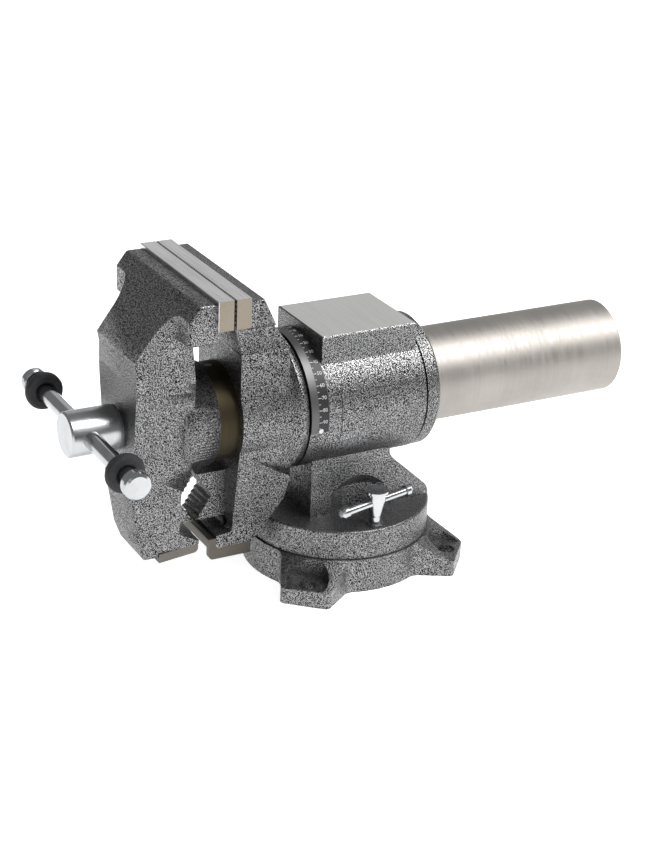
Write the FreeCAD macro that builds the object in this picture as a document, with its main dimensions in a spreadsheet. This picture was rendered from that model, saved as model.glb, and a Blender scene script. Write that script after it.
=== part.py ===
"""Swivel bench vise with a turning head, pipe jaws and a tubular slide.

Millimetres and degrees. +Z is up and the origin lies on the swivel axis at the underside of the
base. The main axis of the head, slide tube and spindle is parallel to Y: the handle is at -Y, the
open end of the tube at +Y. The jaws are spread along X. Every size comes from the sheet.
"""
import FreeCAD, Part
import math
import os
import Sketcher

SIZES = {
    # Layout and fits
    "axis_height": 126.3,
    "jaw_reach": 113.7,
    "jaw_travel": 125.0,
    "jaw_gap": 0.3,
    "run_fit": 0.08,
    "pin_fit": 0.05,
    "seat_gap": 0.3,
    "turn_gap": 0.7,
    "cut_past": 30.0,
    # Base casting
    "lug_turn": 48.6,
    "base_radius": 67.0,
    "base_height": 25.0,
    "lug_reach": 23.5,
    "lug_end_half": 17.2,
    "lug_root_half": 24.5,
    "lug_root": 7.0,
    "lug_end_height": 12.0,
    "lug_corner": 4.0,
    "lug_hollow": 10.0,
    "bolt_circle": 15.0,
    "bolt_hole": 5.75,
    "spot_radius": 14.5,
    "spot_height": 12.3,
    "slot_radius": 56.0,
    "slot_mouth": 4.3,
    "slot_wide": 7.0,
    "slot_floor": 8.0,
    "slot_roof": 16.0,
    "shoe_entry": 10.0,
    "pivot_radius": 6.0,
    "pivot_recess": 14.0,
    "pivot_depth": 10.5,
    "pivot_head": 10.2,
    "pivot_head_height": 7.5,
    "pivot_washer": 12.0,
    "pivot_washer_thick": 2.4,
    "pivot_length": 52.0,
    # Swivel body
    "table_radius": 65.5,
    "table_top": 46.0,
    "table_edge": 1.5,
    "post_half": 30.5,
    "post_front": 37.5,
    "post_rear": 24.0,
    "flare_top": 83.0,
    "flare_reach": 57.5,
    "flare_foot": 52.5,
    "flare_hollow": 9.0,
    "flare_round": 13.0,
    "cove_radius": 33.0,
    "cove_shoulder": 62.0,
    "cove_top": 72.0,
    "barrel_radius": 48.0,
    "barrel_front": 49.1,
    "barrel_rear": 41.3,
    "anvil_half": 33.0,
    "anvil_front": 34.5,
    "anvil_rear": 38.2,
    "anvil_top": 180.9,
    "anvil_edge": 0.8,
    "plaque_proud": 0.6,
    "plaque_angle": 41.0,
    "plaque_front": 25.0,
    "plaque_rear": 36.0,
    "lock_boss": 6.6,
    "lock_boss_height": 1.6,
    "head_lock_boss": 11.0,
    "head_lock_face": 53.0,
    "head_lock_rear": 4.0,
    # Degree strip
    "scale_thick": 0.5,
    "scale_front": 48.6,
    "scale_rear": 35.2,
    "scale_angle": 198.0,
    "rivet_radius": 1.7,
    "rivet_angle": -7.0,
    "rivet_proud": 0.8,
    "rivet_place": 41.5,
    # Turning head with the rear jaw
    "sleeve_radius": 41.2,
    "flange_front": 54.5,
    "cone_front": 62.5,
    "boss_radius": 39.0,
    "neck_half": 33.5,
    "neck_front": 19.2,
    "jaw_half": 60.5,
    "jaw_height": 102.1,
    "rear_jaw_drop": 3.4,
    "rear_head_back": 21.8,
    "rear_end_back": 34.4,
    "rear_end_under": 71.3,
    "rear_neck_under": 51.7,
    "rear_neck_back": 59.0,
    "rear_foot_half": 24.0,
    "taper_start": 21.0,
    "taper_end": 78.0,
    "hook_top": 82.0,
    "hook_tip": 7.4,
    "hook_tip_top": 83.4,
    "hook_round": 2.5,
    "rear_sole_top": 92.3,
    "rear_foot_back": 33.5,
    "foot_heel": 43.2,
    "heel_low": 83.1,
    "shin_back": 57.0,
    "shin_low": 63.4,
    "calf_back": 53.5,
    "calf_low": 45.7,
    "casting_round": 1.6,
    "cap_ring_radius": 47.5,
    "cap_ring_width": 11.5,
    "cap_ring_bevel": 2.5,
    "cap_screw_circle": 38.2,
    "cap_screw_radius": 1.5,
    "cap_screw_head": 2.75,
    "cap_screw_head_height": 3.0,
    "cap_screw_bite": 8.0,
    "cap_screw_length": 9.0,
    "cap_screw_socket": 1.5,
    # Jaw plates and their screws
    "plate_half": 62.5,
    "plate_thick": 11.4,
    "plate_height": 20.1,
    "plate_edge": 0.4,
    "plate_screw_span": 42.0,
    "plate_screw_radius": 3.0,
    "plate_screw_head": 5.0,
    "plate_screw_head_height": 5.0,
    "plate_screw_sunk": 0.5,
    "plate_screw_length": 20.0,
    "plate_screw_hole": 9.2,
    "plate_screw_socket": 2.9,
    "socket_share": 0.55,
    # Bottom plates and their screws
    "sole_half": 24.0,
    "rear_sole_thick": 8.6,
    "sole_lip_front": 2.0,
    "sole_lip_top": 85.1,
    "sole_corner": 3.5,
    "sole_screw_span": 26.0,
    "sole_screw_radius": 2.5,
    "sole_screw_head": 4.2,
    "sole_screw_head_height": 3.0,
    "sole_screw_sunk": 0.4,
    "sole_screw_length": 16.0,
    "sole_screw_socket": 2.3,
    "front_sole_half": 22.6,
    "front_sole_thick": 6.4,
    "front_sole_front": 34.3,
    "front_sole_top": 86.6,
    "front_sole_tilt": 5.8,
    # Pipe jaws
    "pipe_jaw_half": 12.0,
    "pipe_jaw_top": 41.8,
    "pipe_jaw_low": 76.3,
    "pipe_jaw_lip": 3.0,
    "rear_pipe_face": 1.6,
    "front_pipe_face": 2.3,
    "vee_depth": 10.4,
    "pipe_screw_radius": 2.5,
    "pipe_screw_head": 4.2,
    "pipe_screw_head_height": 2.6,
    "pipe_screw_length": 16.0,
    "pipe_screw_socket": 2.3,
    # Moving jaw
    "front_jaw_half": 60.0,
    "front_jaw_drop": 2.4,
    "brow_front": 23.3,
    "end_front": 30.6,
    "end_bevel": 7.3,
    "front_end_under": 70.7,
    "nose_front": 55.8,
    "nose_half": 32.0,
    "nose_height": 56.5,
    "front_neck_under": 50.0,
    "chest_front": 54.5,
    "waist_level": 30.7,
    "thigh_low": 44.0,
    "thigh_half_front": 22.8,
    "thigh_half_back": 26.5,
    "knee_low": 80.0,
    "knee_front": 49.1,
    "knee_half_front": 21.1,
    "knee_half_back": 24.0,
    "toe_low": 96.0,
    "toe_bottom": 92.5,
    "toe_front": 43.3,
    "toe_half_front": 20.0,
    "toe_half_back": 23.0,
    "front_leg_back": 13.3,
    "notch_top": 31.8,
    "notch_corner": 46.3,
    "notch_low": 77.1,
    "front_pipe_back": 19.5,
    "front_hook_tip": 5.4,
    "front_hook_top": 83.6,
    "front_hook_nose": 1.6,
    "front_boss_radius": 36.0,
    "front_boss_end": 4.0,
    "chamber_radius": 20.0,
    "chamber_front": 36.3,
    # Slide tube
    "tube_radius": 33.85,
    "tube_wall": 4.5,
    "tube_end": 216.4,
    "tube_edge": 0.8,
    "spigot_length": 13.0,
    "slot_gap": 0.5,
    "tube_pin_radius": 3.0,
    "tube_pin_length": 8.0,
    "tube_pin_sunk": 0.4,
    # Spindle and nut
    "spindle_radius": 11.2,
    "thread_radius": 10.6,
    "spindle_head": 15.6,
    "spindle_front": 91.8,
    "spindle_edge": 1.2,
    "thrust_washer": 15.2,
    "thrust_washer_thick": 2.0,
    "collar_radius": 17.0,
    "collar_width": 11.0,
    "collar_pin_radius": 2.5,
    "nut_front": 48.0,
    "nut_radius": 28.0,
    "nut_length": 32.0,
    "key_half": 8.0,
    "key_depth": 37.0,
    "key_length": 24.0,
    "key_screw_radius": 2.5,
    "key_screw_head": 4.2,
    "key_screw_head_height": 2.4,
    "key_screw_sink": 2.8,
    "key_screw_length": 15.0,
    "key_screw_socket": 2.3,
    "thread_spare": 8.0,
    # Handle
    "handle_place": 78.0,
    "handle_radius": 6.0,
    "handle_near": 82.1,
    "handle_far": 88.1,
    "knob_radius": 9.5,
    "knob_length": 9.0,
    "knob_face": 3.0,
    "knob_stub": 4.0,
    "knob_round": 2.6,
    "knob_bevel": 0.8,
    "knob_neck": 8.2,
    "knob_neck_length": 1.2,
    "ring_radius": 13.3,
    "ring_width": 7.4,
    "ring_round": 2.4,
    "ring_cup": 7.6,
    "ring_cup_depth": 1.6,
    "ring_stand": 9.4,
    # Lock screws with small sliding bars
    "lock_stud": 4.0,
    "lock_stud_low": 9.5,
    "lock_hub_low": 52.0,
    "lock_hub_height": 20.0,
    "lock_taper": 12.0,
    "lock_hub_radius": 6.4,
    "lock_hub_foot": 4.2,
    "lock_cap_radius": 8.2,
    "lock_cap_thick": 1.8,
    "lock_bar_radius": 3.0,
    "lock_bar_height": 11.0,
    "lock_bar_half": 27.0,
    "lock_bar_turn": 13.5,
    "lock_knob_radius": 4.0,
    "lock_knob_length": 3.6,
    "lock_knob_crown": 2.4,
    "lock_knob_cap": 2.0,
    "shoe_half": 6.0,
    "shoe_long": 8.0,
    "shoe_height": 6.4,
    "brake_pad_thick": 4.0,
    "head_lock_stand": 2.0,
    "head_lock_turn": 90.0,
}

X_AXIS = FreeCAD.Vector(1, 0, 0)
Y_AXIS = FreeCAD.Vector(0, 1, 0)
Z_AXIS = FreeCAD.Vector(0, 0, 1)
FULL_TURN = 360.0
CLOSE = 0.01
STRAIGHT = 0.99
DIAGONAL = math.sqrt(0.5)
EASE = 0.3
LUG_COUNT = 4
TEETH = 3
TOOTH_LEAN = 1.0
TOOTH_BITE = 0.35

doc = FreeCAD.newDocument("swivel_bench_vise")
sheet = doc.addObject("Spreadsheet::Sheet", "Sizes")


class Size:
    """A number together with the sheet expression that gives it."""

    def __init__(self, value, text):
        self.value = value
        self.text = text

    def __add__(self, other):
        other = as_size(other)
        return Size(self.value + other.value, "(%s + %s)" % (self.text, other.text))

    def __sub__(self, other):
        other = as_size(other)
        return Size(self.value - other.value, "(%s - %s)" % (self.text, other.text))

    def __mul__(self, other):
        other = as_size(other)
        return Size(self.value * other.value, "(%s * %s)" % (self.text, other.text))

    def __truediv__(self, other):
        other = as_size(other)
        return Size(self.value / other.value, "(%s / %s)" % (self.text, other.text))

    def __neg__(self):
        return Size(-self.value, "(0 - %s)" % self.text)

    __radd__ = __add__

    def __rsub__(self, other):
        return as_size(other) - self

    __rmul__ = __mul__


def as_size(number):
    """Turns a plain number into a size, and leaves a size as it is."""
    if isinstance(number, Size):
        return number
    return Size(float(number), repr(float(number)))


class Names:
    """Gives each size of the sheet by its alias."""

    def __getattr__(self, alias):
        return Size(SIZES[alias], "Sizes." + alias)


def fill_sheet():
    """Writes every size and its alias into the sheet."""
    for row, (alias, value) in enumerate(SIZES.items(), start=1):
        sheet.set("A%d" % row, alias)
        sheet.set("B%d" % row, repr(value))
        sheet.setAlias("B%d" % row, alias)
    doc.recompute()


fill_sheet()
S = Names()


def cosine(angle):
    """The cosine of an angle in degrees."""
    return Size(math.cos(math.radians(angle.value)), "cos(%s * 1 deg)" % angle.text)


def sine(angle):
    """The sine of an angle in degrees."""
    return Size(math.sin(math.radians(angle.value)), "sin(%s * 1 deg)" % angle.text)


def tangent(angle):
    """The tangent of an angle in degrees."""
    return Size(math.tan(math.radians(angle.value)), "tan(%s * 1 deg)" % angle.text)


# Helpers for bodies, sketches and features


def new_body(label):
    """An empty body with its own label."""
    body = doc.addObject("PartDesign::Body", label)
    body.Label = label
    return body


def sketch_on(body, role, name, lift=None, raise_by=None):
    """A sketch on one origin plane of the body, lifted along its normal and raised in plane."""
    sketch = body.newObject("Sketcher::SketchObject", name)
    plane = [item for item in body.Origin.OriginFeatures if item.Role == role][0]
    sketch.AttachmentSupport = [(plane, "")]
    sketch.MapMode = "FlatFace"
    if lift is not None:
        sketch.setExpression("AttachmentOffset.Base.z", as_size(lift).text)
    if raise_by is not None:
        sketch.setExpression("AttachmentOffset.Base.y", as_size(raise_by).text)
    return sketch


def side_sketch(body, name, lift=None):
    """A sketch in the YZ plane whose horizontal axis is the main axis."""
    return sketch_on(body, "YZ_Plane", name, lift, S.axis_height)


def front_sketch(body, name, place):
    """A sketch across the main axis at the given Y, with its origin on that axis."""
    return sketch_on(body, "XZ_Plane", name, -as_size(place), S.axis_height)


def pin_point(sketch, geometry, position, point):
    """Fixes one point of the geometry at the given pair of sizes."""
    for kind, part in (("DistanceX", point[0]), ("DistanceY", point[1])):
        part = as_size(part)
        constraint = Sketcher.Constraint(kind, -1, 1, geometry, position, part.value)
        index = sketch.addConstraint(constraint)
        sketch.setExpression("Constraints[%d]" % index, part.text)


def outline(sketch, points):
    """A closed outline of straight lines through the given pairs of sizes."""
    corners = [(as_size(u), as_size(v)) for u, v in points]
    first = sketch.GeometryCount
    count = len(corners)
    for index, corner in enumerate(corners):
        after = corners[(index + 1) % count]
        start = FreeCAD.Vector(corner[0].value, corner[1].value, 0)
        end = FreeCAD.Vector(after[0].value, after[1].value, 0)
        sketch.addGeometry(Part.LineSegment(start, end), False)
    for index, corner in enumerate(corners):
        after = first + (index + 1) % count
        sketch.addConstraint(Sketcher.Constraint("Coincident", first + index, 2, after, 1))
        pin_point(sketch, first + index, 1, corner)
    return sketch


def circle(sketch, centre, radius):
    """A circle with its centre at a pair of sizes."""
    u, v, radius = as_size(centre[0]), as_size(centre[1]), as_size(radius)
    middle = FreeCAD.Vector(u.value, v.value, 0)
    index = sketch.addGeometry(Part.Circle(middle, Z_AXIS, radius.value), False)
    pin_point(sketch, index, 3, (u, v))
    ring = sketch.addConstraint(Sketcher.Constraint("Radius", index, radius.value))
    sketch.setExpression("Constraints[%d]" % ring, radius.text)
    return sketch


def box_outline(sketch, low, high):
    """A rectangle between two opposite corners."""
    return outline(sketch, [low, (high[0], low[1]), high, (low[0], high[1])])


def feature(body, kind, name, sketch, **values):
    """A sketch-based feature whose length-like properties are bound to sizes."""
    item = body.newObject("PartDesign::" + kind, name)
    item.Profile = sketch
    for key, value in values.items():
        if isinstance(value, Size):
            item.setExpression(key, value.text)
        else:
            setattr(item, key, value)
    sketch.Visibility = False
    body.Tip = item
    return item


def pad(body, name, sketch, length, against=False):
    """Adds material along the sketch normal, or against it."""
    return feature(body, "Pad", name, sketch, Length=as_size(length), Reversed=against)


def pocket(body, name, sketch, length, along=False):
    """Cuts against the sketch normal, or along it."""
    return feature(body, "Pocket", name, sketch, Length=as_size(length), Reversed=along)


def turned(body, kind, name, sketch, axis="H_Axis", angle=FULL_TURN):
    """A revolution or groove about one axis of its sketch."""
    item = feature(body, kind, name, sketch, ReferenceAxis=(sketch, [axis]))
    if isinstance(angle, Size):
        item.setExpression("Angle", angle.text)
    else:
        item.Angle = angle
    return item


def polar(body, name, originals, count, role="Z_Axis"):
    """Repeats features about one of the body's own axes."""
    item = body.newObject("PartDesign::PolarPattern", name)
    item.Originals = originals
    line = [part for part in body.Origin.OriginFeatures if part.Role == role][0]
    item.Axis = (line, [""])
    item.Angle = FULL_TURN
    item.Occurrences = count
    body.Tip = item
    return item


def mirrored(body, name, originals, role="YZ_Plane"):
    """Repeats features on the other side of one of the body's own planes."""
    item = body.newObject("PartDesign::Mirrored", name)
    item.Originals = originals
    plane = [part for part in body.Origin.OriginFeatures if part.Role == role][0]
    item.MirrorPlane = (plane, [""])
    body.Tip = item
    return item


def edges_where(shape, test):
    """Names of the edges whose middle point and direction pass the test."""
    names = []
    for index, edge in enumerate(shape.Edges, start=1):
        first, last = edge.ParameterRange
        middle = edge.valueAt((first + last) / 2)
        direction = edge.tangentAt((first + last) / 2)
        if test(edge, middle, direction):
            names.append("Edge%d" % index)
    return names


def dress(body, kind, name, test, **values):
    """A fillet or chamfer on the edges of the body that pass the test."""
    doc.recompute()
    base = body.Tip
    names = edges_where(base.Shape, test)
    item = body.newObject("PartDesign::" + kind, name)
    item.Base = (base, names)
    for key, value in values.items():
        item.setExpression(key, as_size(value).text)
    body.Tip = item
    return item


def fillet(body, name, radius, test):
    """Rounds the edges that pass the test."""
    return dress(body, "Fillet", name, test, Radius=radius)


def chamfer(body, name, size, test):
    """Bevels the edges that pass the test."""
    return dress(body, "Chamfer", name, test, Size=size)


def near(value, size):
    """True where a coordinate lies at the given size."""
    return abs(value - as_size(size).value) < CLOSE


# Helpers for parts made of plain primitives


def bind(item, **values):
    """Binds properties of an object to sizes."""
    for key, value in values.items():
        item.setExpression(key, as_size(value).text)


def seat(item, at, direction=Z_AXIS, turn=None):
    """Puts an object at three sizes with its own Z along the direction."""
    item.Placement = FreeCAD.Placement(FreeCAD.Vector(), FreeCAD.Rotation(Z_AXIS, direction))
    if turn is not None:
        item.Placement = FreeCAD.Placement(FreeCAD.Vector(), turn)
    for letter, value in zip("xyz", at):
        item.setExpression("Placement.Base." + letter, as_size(value).text)
    return item


def rod(name, radius, length, at, direction=Z_AXIS, turn=None):
    """A cylinder that starts at a point and runs along a direction."""
    item = doc.addObject("Part::Cylinder", name)
    bind(item, Radius=radius, Height=length)
    return seat(item, at, direction, turn)


def tapered_rod(name, first, second, length, at, direction=Z_AXIS, turn=None):
    """A cone from the first radius to the second one."""
    item = doc.addObject("Part::Cone", name)
    bind(item, Radius1=first, Radius2=second, Height=length)
    return seat(item, at, direction, turn)


def hexagon(name, corner, height, at, direction=Z_AXIS):
    """A six-sided prism."""
    item = doc.addObject("Part::Prism", name)
    item.Polygon = 6
    bind(item, Circumradius=corner, Height=height)
    return seat(item, at, direction)


def fuse(label, items):
    """One solid from several overlapping ones."""
    item = doc.addObject("Part::MultiFuse", label)
    item.Shapes = items
    item.Label = label
    return item


def cut(label, base, tool):
    """The base less the tool."""
    item = doc.addObject("Part::Cut", label)
    item.Base = base
    item.Tool = tool
    item.Label = label
    return item


def group(label, items):
    """Separate solids that share one node."""
    item = doc.addObject("Part::Compound", label)
    item.Links = items
    item.Label = label
    return item


# Places that several pieces share

AXIS = S.axis_height
LUG_ROOT = S.base_radius - S.lug_root
LUG_REACH = S.base_radius + S.lug_reach
BOLT_CIRCLE = S.base_radius + S.bolt_circle
BROW_FRONT = S.jaw_reach + S.brow_front
END_FRONT = S.jaw_reach + S.end_front
NOSE_FRONT = S.jaw_reach + S.nose_front
CHEST_FRONT = S.jaw_reach + S.chest_front
KNEE_FRONT = S.jaw_reach + S.knee_front
TOE_FRONT = S.jaw_reach + S.toe_front
FRONT_LEG_BACK = S.jaw_reach + S.front_leg_back
FRONT_PIPE_BACK = S.jaw_reach + S.front_pipe_back
FRONT_HOOK_TIP = S.jaw_reach + S.front_hook_tip
FRONT_SOLE_FRONT = S.jaw_reach + S.front_sole_front
CHAMBER_FRONT = S.jaw_reach + S.chamber_front
SPINDLE_FRONT = S.jaw_reach + S.spindle_front
HANDLE_PLACE = S.jaw_reach + S.handle_place
REAR_PIPE_FACE = S.jaw_reach + S.rear_pipe_face
FRONT_PIPE_FACE = S.jaw_reach + S.front_pipe_face
FRONT_BOSS_END = S.jaw_reach - S.front_boss_end
REAR_HEAD_BACK = S.jaw_reach - S.rear_head_back
REAR_END_BACK = S.jaw_reach - S.rear_end_back
NECK_FRONT = S.jaw_reach - S.neck_front
HOOK_TIP = S.jaw_reach - S.hook_tip
REAR_FOOT_BACK = S.jaw_reach - S.rear_foot_back
FOOT_HEEL = S.jaw_reach - S.foot_heel
SOLE_LIP_FRONT = S.jaw_reach - S.sole_lip_front
REAR_FACE = -S.jaw_reach + S.jaw_gap / 2
FRONT_FACE = -S.jaw_reach - S.jaw_gap / 2
REAR_SEAT = REAR_FACE + S.plate_thick
FRONT_SEAT = FRONT_FACE - S.plate_thick
PLATE_TOP = S.jaw_height
PLATE_LOW = S.jaw_height - S.plate_height
REAR_TOP = S.jaw_height - S.rear_jaw_drop
FRONT_TOP = S.jaw_height - S.front_jaw_drop
REAR_SOLE = S.rear_sole_top
SOLE_SLOPE = tangent(S.front_sole_tilt)
TABLE_LOW = S.base_height + S.seat_gap
SHOE_LOW = S.slot_roof - S.seat_gap - S.shoe_height
SLEEVE_END = S.barrel_rear + S.turn_gap
FLANGE_BACK = -(S.barrel_front + S.turn_gap)
TUBE_BORE = S.tube_radius - S.tube_wall
SLIDE_BORE = S.tube_radius + S.run_fit
BARREL_BORE = S.sleeve_radius + S.run_fit
NUT_REAR = -S.nut_front + S.nut_length
KEY_MIDDLE = -S.nut_front + S.nut_length / 2
KEY_REAR = KEY_MIDDLE + S.key_length / 2
KEY_FRONT = KEY_MIDDLE - S.key_length / 2
HEAD_BACK = -NOSE_FRONT - S.seat_gap - S.thrust_washer_thick
SPINDLE_TIP = NUT_REAR + S.jaw_travel + S.thread_spare
COLLAR_FRONT = -CHAMBER_FRONT + S.seat_gap
COLLAR_MIDDLE = COLLAR_FRONT + S.collar_width / 2
TUBE_PIN_Y = -FRONT_BOSS_END + S.spigot_length / 2
PIPE_MIDDLE = -(S.pipe_jaw_top + S.pipe_jaw_low) / 2
REAR_SOLE_Y = -(REAR_FOOT_BACK + HOOK_TIP) / 2
FRONT_SOLE_Y = -(FRONT_SOLE_FRONT + FRONT_HOOK_TIP) / 2
PLATE_LEVEL = S.jaw_height - S.plate_height / 2
PLATE_SPOTS = [(S.plate_screw_span / 2, PLATE_LEVEL), (-S.plate_screw_span / 2, PLATE_LEVEL)]
CAP_SPOTS = [(S.cap_screw_circle * side * DIAGONAL, S.cap_screw_circle * high * DIAGONAL)
             for side in (1, -1) for high in (1, -1)]


# Base


def make_base():
    """The round base casting with four bolting lugs and a ring slot for the clamp shoes."""
    body = new_body("base_casting")
    disc = circle(sketch_on(body, "XY_Plane", "base_disc_outline"), (0, 0), S.base_radius)
    pad(body, "base_disc", disc, S.base_height)
    lug = outline(sketch_on(body, "XY_Plane", "lug_outline"), [
        (LUG_ROOT, -S.lug_root_half),
        (LUG_REACH, -S.lug_end_half),
        (LUG_REACH, S.lug_end_half),
        (LUG_ROOT, S.lug_root_half),
    ])
    first = pad(body, "lug", lug, S.base_height)
    polar(body, "lugs", [first], LUG_COUNT)

    def upright(edge, middle, direction):
        return abs(direction.z) > STRAIGHT

    def at_corner(edge, middle, direction):
        far = math.hypot(middle.x, middle.y) > LUG_REACH.value
        return upright(edge, middle, direction) and far

    def at_hollow(edge, middle, direction):
        reach = math.hypot(middle.x, middle.y) - SIZES["base_radius"]
        return upright(edge, middle, direction) and abs(reach) < CLOSE

    fillet(body, "lug_corners", S.lug_corner, at_corner)
    fillet(body, "lug_hollows", S.lug_hollow, at_hollow)
    run = LUG_REACH - S.base_radius
    drop = S.base_height - S.lug_end_height
    slope = outline(sketch_on(body, "XZ_Plane", "slope_outline"), [
        (S.base_radius, S.base_height),
        (LUG_REACH + run / 2, S.lug_end_height - drop / 2),
        (LUG_REACH + run / 2, S.base_height + drop),
        (S.base_radius, S.base_height + drop),
    ])
    turned(body, "Groove", "sloping_top", slope, "V_Axis")
    spot = circle(sketch_on(body, "XY_Plane", "spot_outline", S.base_height),
                  (BOLT_CIRCLE, 0), S.spot_radius)
    spot_face = pocket(body, "spot_face", spot, S.base_height - S.spot_height)
    hole = circle(sketch_on(body, "XY_Plane", "bolt_hole_outline", S.base_height),
                  (BOLT_CIRCLE, 0), S.bolt_hole)
    bolt_hole = pocket(body, "bolt_hole_cut", hole, S.base_height)
    polar(body, "bolt_holes", [spot_face, bolt_hole], LUG_COUNT)
    slot = outline(sketch_on(body, "XZ_Plane", "ring_slot_outline"), [
        (S.slot_radius - S.slot_wide, S.slot_floor),
        (S.slot_radius + S.slot_wide, S.slot_floor),
        (S.slot_radius + S.slot_wide, S.slot_roof),
        (S.slot_radius + S.slot_mouth, S.slot_roof),
        (S.slot_radius + S.slot_mouth, S.base_height),
        (S.slot_radius - S.slot_mouth, S.base_height),
        (S.slot_radius - S.slot_mouth, S.slot_roof),
        (S.slot_radius - S.slot_wide, S.slot_roof),
    ])
    turned(body, "Groove", "ring_slot", slot, "V_Axis")
    entry = circle(sketch_on(body, "XY_Plane", "shoe_entry_outline", S.slot_roof),
                   (0, S.slot_radius), S.shoe_entry)
    pocket(body, "shoe_entry_cut", entry, S.slot_roof)
    bore = circle(sketch_on(body, "XY_Plane", "pivot_bore_outline", S.base_height),
                  (0, 0), S.pivot_radius + S.run_fit)
    pocket(body, "pivot_bore", bore, S.base_height)
    recess = circle(sketch_on(body, "XY_Plane", "pivot_recess_outline", S.pivot_depth),
                    (0, 0), S.pivot_recess)
    pocket(body, "pivot_recess_cut", recess, S.pivot_depth)
    body.Placement = FreeCAD.Placement(FreeCAD.Vector(), FreeCAD.Rotation(Z_AXIS, 1))
    body.setExpression("Placement.Rotation.Angle", S.lug_turn.text)
    return [body]


def make_pivot():
    """The bolt and washer that hold the swivel body down on the base."""
    washer_low = S.pivot_depth - S.seat_gap - S.pivot_washer_thick
    head_low = washer_low - S.pivot_head_height
    head = hexagon("pivot_bolt_head", S.pivot_head, S.pivot_head_height, (0, 0, head_low))
    shank = rod("pivot_bolt_shank", S.pivot_radius, S.pivot_length, (0, 0, head_low))
    bolt = fuse("pivot_bolt", [head, shank])
    disc = rod("pivot_washer_disc", S.pivot_washer, S.pivot_washer_thick, (0, 0, washer_low))
    hole = rod("pivot_washer_hole", S.pivot_radius + S.pin_fit, S.pivot_washer_thick,
               (0, 0, washer_low))
    return [bolt, cut("pivot_washer", disc, hole)]


# Swivel body


def make_swivel_body():
    """The casting that turns on the base and carries the head in its barrel."""
    body = new_body("swivel_body")
    table = circle(sketch_on(body, "XY_Plane", "table_outline", TABLE_LOW), (0, 0),
                   S.table_radius)
    pad(body, "table", table, S.table_top - TABLE_LOW)
    fillet(body, "table_edge_round", S.table_edge,
           lambda edge, middle, direction: near(middle.z, S.table_top))
    post = outline(sketch_on(body, "YZ_Plane", "post_outline", -S.post_half), [
        (-S.post_front, TABLE_LOW),
        (S.flare_reach, TABLE_LOW),
        (S.flare_reach, S.flare_foot),
        (S.post_rear, S.flare_top),
        (S.post_rear, AXIS),
        (-S.post_front, AXIS),
    ])
    pad(body, "post", post, S.post_half * 2)

    def across_at(y, z):
        return lambda edge, middle, direction: (
            abs(direction.x) > STRAIGHT and near(middle.y, y) and near(middle.z, z))

    fillet(body, "flare_top_round", S.flare_hollow, across_at(S.post_rear, S.flare_top))
    fillet(body, "flare_foot_round", S.flare_round, across_at(S.flare_reach, S.flare_foot))
    cove = sketch_on(body, "XZ_Plane", "cove_outline")
    cove.setExpression("AttachmentOffset.Base.x", S.slot_radius.text)
    outline(cove, [
        (0, S.table_top),
        (S.cove_radius, S.table_top),
        (S.cove_radius, S.cove_shoulder),
        (S.slot_radius - S.post_half, S.cove_top),
        (0, S.cove_top),
    ])
    cove_cut = turned(body, "Groove", "cove", cove, "V_Axis")
    mirrored(body, "coves", [cove_cut])
    boss = circle(sketch_on(body, "XY_Plane", "lock_boss_outline", TABLE_LOW),
                  (S.slot_radius, 0), S.lock_boss)
    boss_pad = pad(body, "lock_boss_pad", boss, S.table_top + S.lock_boss_height - TABLE_LOW)
    mirrored(body, "lock_bosses", [boss_pad])
    barrel = circle(front_sketch(body, "barrel_outline", S.barrel_rear), (0, 0),
                    S.barrel_radius)
    pad(body, "barrel", barrel, S.barrel_front + S.barrel_rear)
    anvil = box_outline(sketch_on(body, "XY_Plane", "anvil_outline", AXIS),
                        (-S.anvil_half, -S.anvil_front), (S.anvil_half, S.anvil_rear))
    pad(body, "anvil", anvil, S.anvil_top - AXIS)
    chamfer(body, "anvil_edges", S.anvil_edge,
            lambda edge, middle, direction: near(middle.z, S.anvil_top))
    plaque = box_outline(sketch_on(body, "XY_Plane", "plaque_outline", AXIS),
                         (S.barrel_radius - S.table_edge, -S.plaque_front),
                         (S.barrel_radius + S.plaque_proud, S.plaque_rear))
    turned(body, "Revolution", "plaque", plaque, "V_Axis", S.plaque_angle).Midplane = True
    lock = circle(sketch_on(body, "YZ_Plane", "head_lock_outline", -S.head_lock_face, AXIS),
                  (S.head_lock_rear, 0), S.head_lock_boss)
    pad(body, "head_lock_boss_pad", lock, S.head_lock_face - S.sleeve_radius)
    bore = circle(front_sketch(body, "barrel_bore_outline", S.barrel_rear), (0, 0), BARREL_BORE)
    pocket(body, "barrel_bore", bore, S.barrel_front + S.barrel_rear, along=True)
    stud = circle(sketch_on(body, "YZ_Plane", "head_lock_hole_outline", -S.head_lock_face, AXIS),
                  (S.head_lock_rear, 0), S.lock_stud + S.pin_fit)
    pocket(body, "head_lock_hole", stud, S.head_lock_face - S.sleeve_radius / 2, along=True)
    hole = sketch_on(body, "XY_Plane", "lock_hole_outline", S.table_top + S.lock_boss_height)
    circle(hole, (S.slot_radius, 0), S.lock_stud + S.run_fit)
    circle(hole, (-S.slot_radius, 0), S.lock_stud + S.run_fit)
    pocket(body, "lock_holes", hole, S.table_top + S.lock_boss_height)
    tapped = circle(sketch_on(body, "XY_Plane", "pivot_hole_outline", TABLE_LOW),
                    (0, 0), S.pivot_radius + S.pin_fit)
    pocket(body, "pivot_hole", tapped, S.pivot_length, along=True)
    return [body]


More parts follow.
